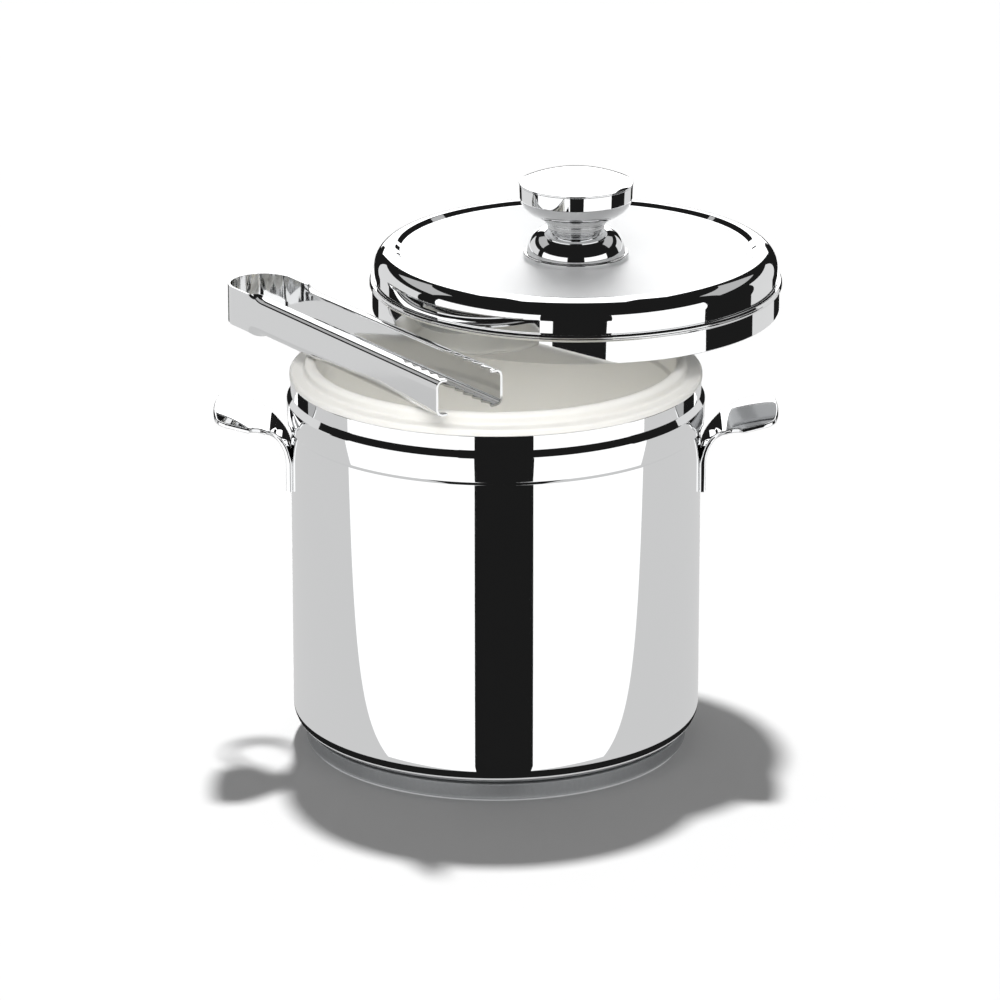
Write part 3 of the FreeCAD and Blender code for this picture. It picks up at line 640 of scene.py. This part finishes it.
def make_cover():
    """Pressed cover: short wall, rounded shoulder, crown ring with a steep inner side, shallow dish."""
    place = Place("lid_shell")
    top = place.height
    shoulder = 7.6
    crown_width = 4.0
    crown_drop = 1.5
    dish_depth = 2.5
    crest = 1.4
    crest_steps = 6
    lean = math.radians(36)
    ledge = 0.12
    dish = top - crown_drop - dish_depth
    ridge = COVER_RADIUS - shoulder
    crown_radius = ridge - crown_width
    crown = []
    for turn in evenly(0, lean, crest_steps):
        crown.append((ridge - crest * math.sin(turn), top - crest * (1 - math.cos(turn))))
    wall_top, wall_height = crown[-1]
    wall_run = (wall_height - top + crown_drop) / math.tan(lean)
    for share in (0.06, 0.94, 1.0):
        crown.append((wall_top - wall_run * share, wall_height - wall_run * share * math.tan(lean)))
    crown.append((crown[-1][0] - ledge, crown[-1][1]))
    hollow = quarter_bow((KNOB_FOOT_RADIUS, dish), (crown_radius, top - crown_drop), steps=20)[::-1]
    surface = [(ridge, top), *crown, (crown_radius, top - crown_drop), *hollow, (KNOB_FOOT_RADIUS, dish)]
    underside = [(radius, height - SHEET) for radius, height in reversed(surface)]
    outside = [(COVER_RADIUS, 0), (COVER_RADIUS, top, shoulder), *surface[1:], (SCREW_HOLE, dish)]
    inner = COVER_RADIUS - SHEET
    inside = [(SCREW_HOLE, dish - SHEET), *underside[:-1], (inner, top - SHEET, shoulder - SHEET),
              (inner, 0)]
    piece = turned("lid_cover", place.foot, outside + inside, sectors=FINE_SECTORS)
    stands_for(piece, "lid_shell", "lid", STEEL)
    piece.data.materials.append(DISH)
    dish_edge = (crown_radius - 0.2) * MM
    for face in piece.data.polygons:
        if face.normal.z > 0.5 and face.center.xy.length < dish_edge:
            face.material_index = 1


def make_skirt():
    """Skirt with a hemmed lower edge, folded round the cover in a doubled seam."""
    seam = SKIRT_HEIGHT
    middle = seam + SEAM_HEIGHT / 2
    groove_depth = 0.25
    groove_half = 0.35
    lower_bulge = 0.75
    lower_rise = 0.15
    upper_bulge = 0.6
    inner = SKIRT_RADIUS - SHEET
    widest = skirt.radius
    corners = [(inner, 0, 0.3), (SKIRT_RADIUS, 0, 0.3), (SKIRT_RADIUS, seam, 0.3),
               (SKIRT_RADIUS + lower_bulge, seam + lower_rise, 0.3), (widest, middle - groove_half, 0.35),
               (widest - groove_depth, middle, 0.1), (widest, middle + groove_half, 0.35),
               (SKIRT_RADIUS + upper_bulge, skirt.height, 0.4), (inner + 0.02, skirt.height, 0.2)]
    piece = turned("lid_rim", skirt.foot, corners, sectors=FINE_SECTORS)
    stands_for(piece, "lid_skirt", "lid", STEEL)


def make_pan():
    """Shallow pan that closes the lid from below, with two pressed rings."""
    place = Place("lid_inner_pan")
    rim = COVER_RADIUS - SHEET
    inner = rim - SHEET
    flange = 3.3
    ring_height = 0.5
    ring_width = 5.0
    ring_side = 1.2
    lower = []
    for radius in (30.0, 52.0):
        far = radius + ring_width
        lower += [(radius, 0, 1.0), (radius + ring_side, ring_height, 1.0),
                  (far - ring_side, ring_height, 1.0), (far, 0, 1.0)]
    upper = [(radius, height + SHEET, rounding) for radius, height, rounding in reversed(lower)]
    corners = [(0, 0), *lower, (rim, 0, 1.2), (rim, flange - SHEET, 0.3),
               (place.radius, flange - SHEET, 0.2), (place.radius, flange, 0.2), (rim, flange, 0.1),
               (rim, place.height, 0.3),
               (inner, place.height, 0.3), (inner, SHEET, 0.5), *upper, (0, SHEET)]
    piece = turned("lid_pan", place.foot, corners)
    stands_for(piece, "lid_inner_pan", "lid", SATIN)


# ---- knob

def make_bell():
    """The knob's foot: a thin rim under a bell."""
    bell = Place("knob_base")
    foot_height = 2.1
    bell_top = 11.4
    bell_radius = 19.6
    rise = 2.05
    steps = 24
    inner_top = bell.height - SHEET
    inner_start = (bell_radius - SHEET, foot_height)
    inner_end = (bell_top - SHEET, inner_top)
    dome = swell((bell_radius, foot_height), (bell_top, bell.height), rise, steps)
    inner_dome = swell(inner_start, inner_end, rise, steps)[::-1]
    corners = [(bell_radius - SHEET, 0, 0.2), (bell.radius, 0, 0.35), (bell.radius, foot_height, 0.7),
               (bell_radius, foot_height, 0.15), *dome, (bell_top, bell.height, 0.2),
               (SCREW_HOLE, bell.height), (SCREW_HOLE, inner_top), inner_end, *inner_dome, inner_start]
    piece = turned("knob_bell", bell.foot, corners)
    stands_for(piece, "knob_base", "lid", STEEL)


def make_spacer():
    """The knob's turned neck, with one fine ring round its middle."""
    neck = Place("knob_neck")
    ring = 0.6
    ring_half = 0.4
    ring_foot_half = 0.5
    waist = neck.radius - ring
    middle = neck.height / 2
    corners = [(SCREW_HOLE, 0), (waist, 0, 0.2), (waist, middle - ring_foot_half, 0.15),
               (neck.radius, middle - ring_half, 0.3), (neck.radius, middle + ring_half, 0.3),
               (waist, middle + ring_foot_half, 0.15), (waist, neck.height, 0.2), (SCREW_HOLE, neck.height)]
    piece = turned("knob_spacer", neck.foot, corners)
    stands_for(piece, "knob_neck", "lid", STEEL)


def make_grip():
    """The knob's grip: a collar, a curved underside and a nearly upright band."""
    bowl = Place("knob_bowl")
    collar = 13.6
    floor = 2.0
    floor_radius = 16.0
    waist_radius = 22.2
    waist_height = floor + 6.7
    rise = 1.52
    inner_rise = 1.32
    steps = 18
    inner_start = (floor_radius - SHEET, floor + SHEET)
    inner_end = (waist_radius - SHEET, waist_height)
    curve = swell((floor_radius, floor), (waist_radius, waist_height), rise, steps)
    inner_curve = swell(inner_start, inner_end, inner_rise, steps)[::-1]
    outside = [(SCREW_HOLE, 0), (collar, 0, 0.4), (collar, floor, 0.15), (floor_radius, floor, 0.3), *curve,
               (waist_radius, waist_height), (bowl.radius, bowl.height, 0.1)]
    inside = [(bowl.radius - SHEET, bowl.height), inner_end, *inner_curve, inner_start,
              (collar - SHEET, floor + SHEET), (collar - SHEET, SHEET), (SCREW_HOLE, SHEET)]
    piece = turned("knob_grip", bowl.foot, outside + inside)
    stands_for(piece, "knob_bowl", "lid", STEEL)


def make_cap():
    """The knob's domed cap, whose thin skirt goes down inside the grip."""
    cap = Place("knob_cap")
    gap = 0.05
    skirt_relief = 0.1
    skirt_top = 2.5
    rim_height = 0.7
    inner_drop = 0.4
    edge = skirt_top + rim_height
    mouth = cap.radius - SHEET - gap
    skirt_radius = mouth - skirt_relief
    inner_edge = edge - inner_drop
    dome = dome_points((cap.radius, edge), cap.height - edge)
    inside = dome_points((mouth - SHEET, inner_edge), cap.height - SHEET - edge + inner_drop)[::-1]
    corners = [(skirt_radius - SHEET, 0), (skirt_radius, 0), (mouth, skirt_top),
               (cap.radius, skirt_top, 0.3), (cap.radius, edge, 0.25), *dome, (0, cap.height),
               (0, cap.height - SHEET), *inside, (mouth - SHEET, inner_edge)]
    piece = turned("knob_top", cap.foot, corners)
    stands_for(piece, "knob_cap", "lid", STEEL)


def dome_points(rim, rise, steps=24):
    """Points from just inside the rim to just outside the axis, on a dome level at the axis."""
    radius = (rim[0] ** 2 + rise ** 2) / (2 * rise)
    points = []
    for step in range(1, steps):
        across = rim[0] * (1 - step / steps)
        points.append((across, rim[1] + rise - radius + math.sqrt(radius ** 2 - across ** 2)))
    return points


# ---- tongs

BOW_RADIUS = 13.3
BOW_LEG = 10.0
STRIP_HALF = 7.75
WEB_HALF = 4.25
FLANGE_BEND = 2.5
FLANGE_STRAIGHT = 2.0
RUN_OUT = 12.0
ARM_SPLAY = math.radians(0.5)
TEETH = 5
TOOTH_PITCH = 6.0
TOOTH_LEAN = 1.2
TOOTH_DEPTH = 1.8
TOOTH_FROM_TIP = 1.5
STRIP_EDGE = 0.12
STRIP_SHARP_ANGLE = math.radians(40)
FLAT_FOLD = 1e-4
FLANGE_ARC = FLANGE_BEND * math.pi / 2
QUARTER = BOW_RADIUS * math.pi / 2
ARM_START = QUARTER + BOW_LEG


class Tongs:
    """The tongs' own frame: the bow's centre, along the arms, and from the front arm to the back."""

    def __init__(self):
        places = {joint["name"]: Vector(joint["pos_m"]) for joint in frame["joints"] if "pos_m" in joint}
        front = places["tongs_front_squeeze"]
        back = places["tongs_back_squeeze"]
        self.back = (back - front).normalized()
        self.along = self.back.cross(Vector((0, 0, 1)))
        self.middle = (front + back) / 2 - self.along * BOW_LEG * MM

    def arm_length(self):
        """How far the front arm reaches past its hinge with the bow, in mm."""
        arm = self.along * math.cos(ARM_SPLAY) - self.back * math.sin(ARM_SPLAY)
        hinge = self.point(BOW_LEG, -BOW_RADIUS, 0)
        corners = frame["nodes"]["tongs_arm_front"].data.vertices
        return max((corner.co - hinge).dot(arm) for corner in corners) / MM

    def point(self, along, back, up):
        """A point in metres in the model's frame, from mm in the tongs' frame."""
        return self.middle + self.along * along * MM + self.back * back * MM + Vector((0, 0, up * MM))


def strip_path(run):
    """Where the strip's middle is, run mm from the bow's middle, and which way it faces outward."""
    if run < QUARTER:
        angle = run / BOW_RADIUS
        outward = Vector((-math.cos(angle), -math.sin(angle)))
        return outward * BOW_RADIUS, outward
    leg = run - QUARTER
    if leg < BOW_LEG:
        return Vector((leg, -BOW_RADIUS)), Vector((0, -1))
    arm = leg - BOW_LEG
    place = Vector((BOW_LEG + arm * math.cos(ARM_SPLAY), -BOW_RADIUS - arm * math.sin(ARM_SPLAY)))
    return place, Vector((-math.sin(ARM_SPLAY), -math.cos(ARM_SPLAY)))


def ease(share):
    """A smooth step from 0 to 1."""
    share = max(0.0, min(1.0, share))
    return share * share * (3 - 2 * share)


def strip_half(arm, arm_length):
    """Half of the strip's width, laid flat, arm mm past the bow."""
    full = WEB_HALF + FLANGE_ARC + FLANGE_STRAIGHT
    if arm < RUN_OUT:
        return STRIP_HALF + (full - STRIP_HALF) * ease(arm / RUN_OUT)
    back = arm_length - TOOTH_FROM_TIP - arm
    if back < 0 or back > TEETH * TOOTH_PITCH:
        return full
    along = back % TOOTH_PITCH
    if along < TOOTH_LEAN:
        return full - TOOTH_DEPTH * along / TOOTH_LEAN
    return full - TOOTH_DEPTH * (TOOTH_PITCH - along) / (TOOTH_PITCH - TOOTH_LEAN)


def section_point(width, off, fold):
    """(inward, up) of a point of the strip's section: width mm from its middle, off mm outward.

    fold is how far the flange is turned in, in radians.
    """
    side = math.copysign(1, width)
    width = abs(width)
    if width <= WEB_HALF or fold < FLAT_FOLD:
        return -off, side * width
    radius = FLANGE_ARC / fold
    turned_by = min(width - WEB_HALF, FLANGE_ARC) / radius
    inward = radius - (radius + off) * math.cos(turned_by)
    up = WEB_HALF + (radius + off) * math.sin(turned_by)
    straight = max(0.0, width - WEB_HALF - FLANGE_ARC)
    return inward + straight * math.sin(fold), side * (up + straight * math.cos(fold))


def section(half, fold, shrink):
    """The closed section of the strip as (inward, up) points, always as many, in the same order.

    half is half of the strip's width, laid flat, and shrink is how much smaller the section is all round.
    """
    face = TONGS_SHEET / 2 - shrink
    edge = STRIP_EDGE
    half -= shrink
    bend = min(FLANGE_ARC, half - WEB_HALF - edge * 1.5)
    positive = evenly(0, WEB_HALF, 5) + evenly(WEB_HALF, bend, 10)
    positive += evenly(WEB_HALF + bend, half - edge * 1.2 - WEB_HALF - bend, 4)[:-1]
    marks = [-mark for mark in reversed(positive)] + [0.0] + positive
    outer = [(mark, face) for mark in marks]
    rim = [(half - edge, face), (half - edge * 0.3, face - edge * 0.3), (half, face - edge)]
    rim += [(width, -off) for width, off in reversed(rim)]
    inner = [(mark, -face) for mark in reversed(marks)]
    other = [(-width, off) for width, off in reversed(rim)]
    return [section_point(width, off, fold) for width, off in outer + rim + inner + other]


def strip_runs(arm_length):
    """Where the strip has a section, in mm from the bow's middle: closer at its bends and teeth."""
    runs = [0.0] + evenly(0, QUARTER, 28) + evenly(QUARTER, BOW_LEG, 6) + evenly(ARM_START, RUN_OUT, 16)
    toothed = ARM_START + arm_length - TOOTH_FROM_TIP - TEETH * TOOTH_PITCH
    runs += evenly(ARM_START + RUN_OUT, toothed - ARM_START - RUN_OUT, 24)
    for tooth in range(TEETH):
        root = toothed + (tooth + 1) * TOOTH_PITCH
        runs += [root - TOOTH_PITCH * 0.6, root - TOOTH_LEAN, root - TOOTH_LEAN * 0.5, root]
    end = ARM_START + arm_length
    return runs + [end - STRIP_EDGE, end]


def make_tongs_half(name, tongs, side, arm_length):
    """Half of the strip, from the bow's middle to one arm's tip. side is -1 in front, 1 behind."""
    runs = strip_runs(arm_length)
    vertices = []
    for run in runs:
        place, outward = strip_path(run)
        arm = run - ARM_START
        fold = math.pi / 2 * ease(arm / RUN_OUT)
        shrink = STRIP_EDGE if run == runs[-1] else 0.0
        for inward, up in section(strip_half(arm, arm_length), fold, shrink):
            spot = place - outward * inward
            vertices.append(tongs.point(spot.x, -side * spot.y, up))
    count = len(vertices) // len(runs)
    faces = [[*range(count)], [*range(len(vertices) - 1, len(vertices) - 1 - count, -1)]]
    for row in range(len(runs) - 1):
        for spoke in range(count):
            following = (spoke + 1) % count
            faces.append([row * count + spoke, (row + 1) * count + spoke,
                          (row + 1) * count + following, row * count + following])
    mesh = bpy.data.meshes.new(name)
    mesh.from_pydata(vertices, [], faces)
    work = bmesh.new()
    work.from_mesh(mesh)
    face_outward(work)
    work.to_mesh(mesh)
    work.free()
    mesh.shade_smooth()
    mesh.set_sharp_from_angle(angle=STRIP_SHARP_ANGLE)
    mesh.materials.append(TONGS_STEEL)
    piece = placed(name, mesh)
    weigh_normals(piece)
    return piece


def make_tongs():
    """Both halves of the tongs, each splayed a little where the bow's leg meets its arm. They take the place
    of the CAD bow and arms.
    """
    tongs = Tongs()
    arm_length = tongs.arm_length()
    for name, side, body, nodes in (
            ("tongs_front_half", -1, "arm_front", ["tongs_bow", "tongs_arm_front"]),
            ("tongs_back_half", 1, "arm_back", ["tongs_arm_back"])):
        piece = make_tongs_half(name, tongs, side, arm_length)
        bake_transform(piece)
        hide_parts(*nodes)


# ---- CAD pieces that stay

def dress_hidden_pieces():
    """Gives the foam and the knob's fixing, which stay as CAD nodes, their materials."""
    looks = {"insulation_sleeve": FOAM, "insulation_pad": FOAM, "lid_insulation": FOAM,
             "knob_insert": SATIN, "knob_washer": SATIN, "knob_screw": SATIN}
    for node, material in looks.items():
        piece = frame["nodes"][node]
        if not piece.material_slots:
            piece.data.materials.append(material)
        for material_slot in piece.material_slots:
            material_slot.material = material


# ---- stage

DOME_RADIUS = 6.0
NIGHT_RADIUS = 5.4
CARD_DISTANCE = 4.0
CARD_STEPS = 24
TABLE_RADIUS = 0.56
TABLE_DEPTH = -0.75
WEDGE_LENGTH = 0.85
LAYER = 0.0001
STUDIO_BRIGHTNESS = {"white": 1.2, "bright": 1.7, "black": 0.012, "grey": 0.655, "pearl": 0.75, "lead": 0.5}


def glow(name, brightness):
    """A material that only gives light."""
    material = bpy.data.materials.new(name)
    material.use_nodes = True
    tree = material.node_tree
    tree.nodes.clear()
    light = tree.nodes.new("ShaderNodeEmission")
    light.inputs["Strength"].default_value = brightness
    output = tree.nodes.new("ShaderNodeOutputMaterial")
    tree.links.new(light.outputs["Emission"], output.inputs["Surface"])
    return material


def stage_piece(name, mesh, material):
    """A stage object that isn't part of the bucket."""
    mesh.materials.append(material)
    piece = placed(name, mesh)
    piece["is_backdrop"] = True
    return piece


def stage_mesh(name, vertices, faces, material):
    """A stage object of the given faces."""
    mesh = bpy.data.meshes.new(name)
    mesh.from_pydata(vertices, [], faces)
    return stage_piece(name, mesh, material)


def stage_ball(name, radius, material):
    """A ball round the whole studio."""
    work = bmesh.new()
    bmesh.ops.create_uvsphere(work, u_segments=64, v_segments=32, radius=radius)
    mesh = bpy.data.meshes.new(name)
    work.to_mesh(mesh)
    work.free()
    return stage_piece(name, mesh, material)


def only_mirrored(piece, camera=False):
    """Keeps a studio card out of the picture, out of the shadows and off the matt surfaces."""
    piece.visible_camera = camera
    piece.visible_diffuse = False
    piece.visible_shadow = False
    piece.visible_transmission = False
    piece.visible_volume_scatter = False


def curved_card(name, first, second, spot, material):
    """A card on a ball round the bucket.

    first and second are the card's two (from, to) ranges in degrees, and spot turns a pair of
    angles in radians into a direction.
    """
    vertices = []
    for row in range(CARD_STEPS + 1):
        turn = math.radians(first[0] + (first[1] - first[0]) * row / CARD_STEPS)
        for column in range(CARD_STEPS + 1):
            lift = math.radians(second[0] + (second[1] - second[0]) * column / CARD_STEPS)
            vertices.append(CARD_DISTANCE * Vector(spot(turn, lift)))
    faces = []
    for row in range(CARD_STEPS):
        for column in range(CARD_STEPS):
            corner = row * (CARD_STEPS + 1) + column
            faces.append([corner, corner + 1, corner + CARD_STEPS + 2, corner + CARD_STEPS + 1])
    only_mirrored(stage_mesh(name, vertices, faces, material))


def arched_spot(up, across):
    """up goes from the front horizon over the top to the back one, and across to the right."""
    flat = math.cos(across)
    return math.sin(across), -flat * math.cos(up), flat * math.sin(up)


def upright_spot(turn, up):
    """turn is the compass angle from the front to the right, and up is the height above the horizon."""
    flat = math.cos(up)
    return flat * math.sin(turn), -flat * math.cos(turn), math.sin(up)


def make_balls(looks):
    """A white ball that the camera sees, and a black one inside it for the reflections."""
    dome = stage_ball("studio_dome", DOME_RADIUS, looks["white"])
    only_mirrored(dome, camera=True)
    dome.visible_glossy = False
    only_mirrored(stage_ball("studio_night", NIGHT_RADIUS, looks["black"]))


def make_cards(looks):
    """Two big windows in front, paler cards beside and above them, and bright cards behind."""
    window_rise = (-60, 20)
    side_rise = (-60, 18)
    high_rise = (28, 46)
    curved_card("window_left", (-20, -86), window_rise, upright_spot, looks["white"])
    curved_card("window_right", (20, 78), window_rise, upright_spot, looks["white"])
    curved_card("side_card_left", (-100, -150), side_rise, upright_spot, looks["pearl"])
    curved_card("side_card_right", (118, 150), side_rise, upright_spot, looks["pearl"])
    for side in (-1, 1):
        curved_card(f"high_card_{side + 1}", (side * 95, side * 140), high_rise, upright_spot, looks["lead"])
    curved_card("back_card_top", (101, 113), (-12, 12), arched_spot, looks["bright"])
    curved_card("back_card_high", (113, 168), (-18.5, 18.5), arched_spot, looks["bright"])
    curved_card("back_card_low", (168, 181), (-13, 13), arched_spot, looks["bright"])


def circle_point(radius, degrees, height):
    """A point on a circle about the bucket's axis, in metres."""
    turn = math.radians(degrees)
    return radius * math.cos(turn), radius * math.sin(turn), height


def make_table(looks):
    """The table as the steel mirrors it: grey, white in front, black in two wedges, and black by the foot as
    a painted shadow.
    """
    every = 5
    rim = [circle_point(TABLE_RADIUS, turn, -2 * LAYER) for turn in range(0, 360, every)]
    only_mirrored(stage_mesh("table_grey", rim, [range(len(rim))], looks["grey"]))

    # A black ring round the shell's foot, seen only in reflections: a painted shadow of the foot on the
    # table.
    foot = []
    for turn in range(0, 360, every):
        foot += [circle_point(away, turn, 2 * LAYER) for away in (0.0775, 0.092)]
    count = len(foot)
    faces = [[near, near + 1, (near + 3) % count, (near + 2) % count] for near in range(0, count, 2)]
    only_mirrored(stage_mesh("table_foot_shade", foot, faces, looks["black"]))

    near_x, near_y = 0.045, -0.091
    far_x, far_y = TABLE_RADIUS, -0.042
    for side in (-1, 1):
        ends = [(side * near_x, near_y, 0), (side * far_x, far_y, 0), (side * far_x, TABLE_DEPTH, 0),
                (0, TABLE_DEPTH, 0), (0, near_y, 0)]
        panel = stage_mesh(f"table_white_{side + 1}", ends, [range(len(ends))], looks["white"])
        only_mirrored(panel)

    make_wedge("table_black_2", 1, ((-0.0079, -11.8), (0.0142, 20.9)), looks["black"])
    make_wedge("table_black_0", -1, ((-0.009, -9.0), (0.009, 9.0)), looks["black"])


def make_wedge(name, facing, sides, material):
    """A wedge that widens away from the shell's foot, to the front (facing 1) or the back (-1).

    Each of its two sides is where it starts across the foot, in metres, and its compass angle.
    """
    radius = SHELL_RADIUS * MM
    ends = []
    for across, degrees in sides:
        near = Vector((across, -facing * math.sqrt(radius ** 2 - across ** 2), 3 * LAYER))
        turn = math.radians(degrees)
        ends += [near, near + Vector((math.sin(turn), -facing * math.cos(turn), 0)) * WEDGE_LENGTH]
    wedge = stage_mesh(name, [ends[0], ends[1], ends[3], ends[2]], [range(len(ends))], material)
    only_mirrored(wedge)


def make_floor():
    """Plain pale floor, which the steel doesn't mirror."""
    material, tree, shader = new_material("floor_look", (0.8, 0.8, 0.8), metallic=0.0, roughness=0.9)
    shader.inputs["Specular IOR Level"].default_value = 0.0
    tint(tree, shader, noise(tree, scale=3.0), (0.8, 0.8, 0.8), (0.79, 0.79, 0.79))
    reach = 5.0
    corners = [(-reach, -reach, 0), (reach, -reach, 0), (reach, reach, 0), (-reach, reach, 0)]
    floor = stage_mesh("floor", corners, [range(len(corners))], material)
    floor.visible_glossy = False
    return floor


def make_stage():
    """The studio that the steel mirrors, and the floor. Returns the floor."""
    looks = {name: glow(f"studio_{name}", level) for name, level in STUDIO_BRIGHTNESS.items()}
    make_balls(looks)
    make_cards(looks)
    make_table(looks)
    return make_floor()


# ---- lights and camera

SKY_STRENGTH = 0.27
KEY_STRENGTH = 3.4
KEY_WIDTH = math.radians(4.0)
KEY_HEIGHT = math.radians(67.0)
LENS = 225
SENSOR_WIDTH = 36
CAMERA_RISE = math.radians(18.14)
CAMERA_DISTANCE = 2.45
CAMERA_AIM = Vector((1.6, 0, 98.0)) * MM


def aimed(piece, target):
    """Turns a light or camera to look from its place at the target."""
    piece.rotation_euler = (target - piece.location).to_track_quat("-Z", "Y").to_euler()


def group_of(name, pieces):
    """A collection of the pieces that a light falls on."""
    group = bpy.data.collections.new(name)
    for piece in pieces:
        group.objects.link(piece)
    return group


def add_light(light, lit):
    """Puts a light in the scene, for the pieces of one group only."""
    light.light_linking.receiver_collection = lit
    bpy.context.scene.collection.objects.link(light)


def disk_light(name, size, watts, place, target_height):
    """A round soft light aimed at the bucket's axis, which no surface mirrors."""
    data = bpy.data.lights.new(name, "AREA")
    data.shape = "DISK"
    data.size = size
    data.energy = watts
    light = bpy.data.objects.new(name, data)
    light.location = place
    aimed(light, Vector((0, 0, target_height)))
    light.visible_glossy = False
    return light


def make_sky():
    """An even grey sky."""
    world = bpy.data.worlds.new("studio_sky")
    bpy.context.scene.world = world
    world.use_nodes = True
    background = world.node_tree.nodes["Background"]
    background.inputs["Color"].default_value = (1, 1, 1, 1)
    background.inputs["Strength"].default_value = SKY_STRENGTH


def make_lights(floor):
    """The sky, a key from behind for the floor only, two fills for the object, one in the cup."""
    make_sky()
    key_data = bpy.data.lights.new("key", "SUN")
    key_data.energy = KEY_STRENGTH
    key_data.angle = KEY_WIDTH
    key = bpy.data.objects.new("key", key_data)
    aimed(key, Vector((0, -1, -math.tan(KEY_HEIGHT))))
    add_light(key, group_of("lit_by_key", [floor]))

    meshes = [item for item in bpy.context.scene.objects if item.type == "MESH"]
    lit_by_fill = group_of("lit_by_fill", [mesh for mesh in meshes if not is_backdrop(mesh)])
    add_light(disk_light("low_fill", 0.9, 17.0, (0.1, -1.7, 0.95), 0.12), lit_by_fill)

    inner_data = bpy.data.lights.new("inner_bounce", "POINT")
    inner_data.energy = 0.05
    inner_data.shadow_soft_size = 0.03
    inner = bpy.data.objects.new("inner_bounce", inner_data)
    inner.location = (0, 0, 0.09)
    inner.visible_glossy = False
    add_light(inner, group_of("lit_by_inner_bounce", [bpy.data.objects["liner_cup"]]))
    add_light(disk_light("fill", 1.6, 21.0, (-0.3, -0.9, 1.9), 0.1), lit_by_fill)


def make_camera():
    """A long lens a little above the rim, looking along +Y."""
    data = bpy.data.cameras.new("camera")
    data.lens = LENS
    data.sensor_width = SENSOR_WIDTH
    data.clip_end = 50
    camera = bpy.data.objects.new("camera", data)
    away = Vector((0, -math.cos(CAMERA_RISE), math.sin(CAMERA_RISE)))
    camera.location = CAMERA_AIM + away * CAMERA_DISTANCE
    aimed(camera, CAMERA_AIM)
    bpy.context.scene.collection.objects.link(camera)
    bpy.context.scene.camera = camera


make_camera()
make_shell()
make_liner()
make_base()
make_handle("handle_strap_right", "handle_right", 1)
make_handle("handle_strap_left", "handle_left", -1)
make_cover()
make_skirt()
make_pan()
make_bell()
make_spacer()
make_grip()
make_cap()
make_tongs()
dress_hidden_pieces()
make_lights(make_stage())

bpy.context.scene.view_settings.view_transform = "Standard"
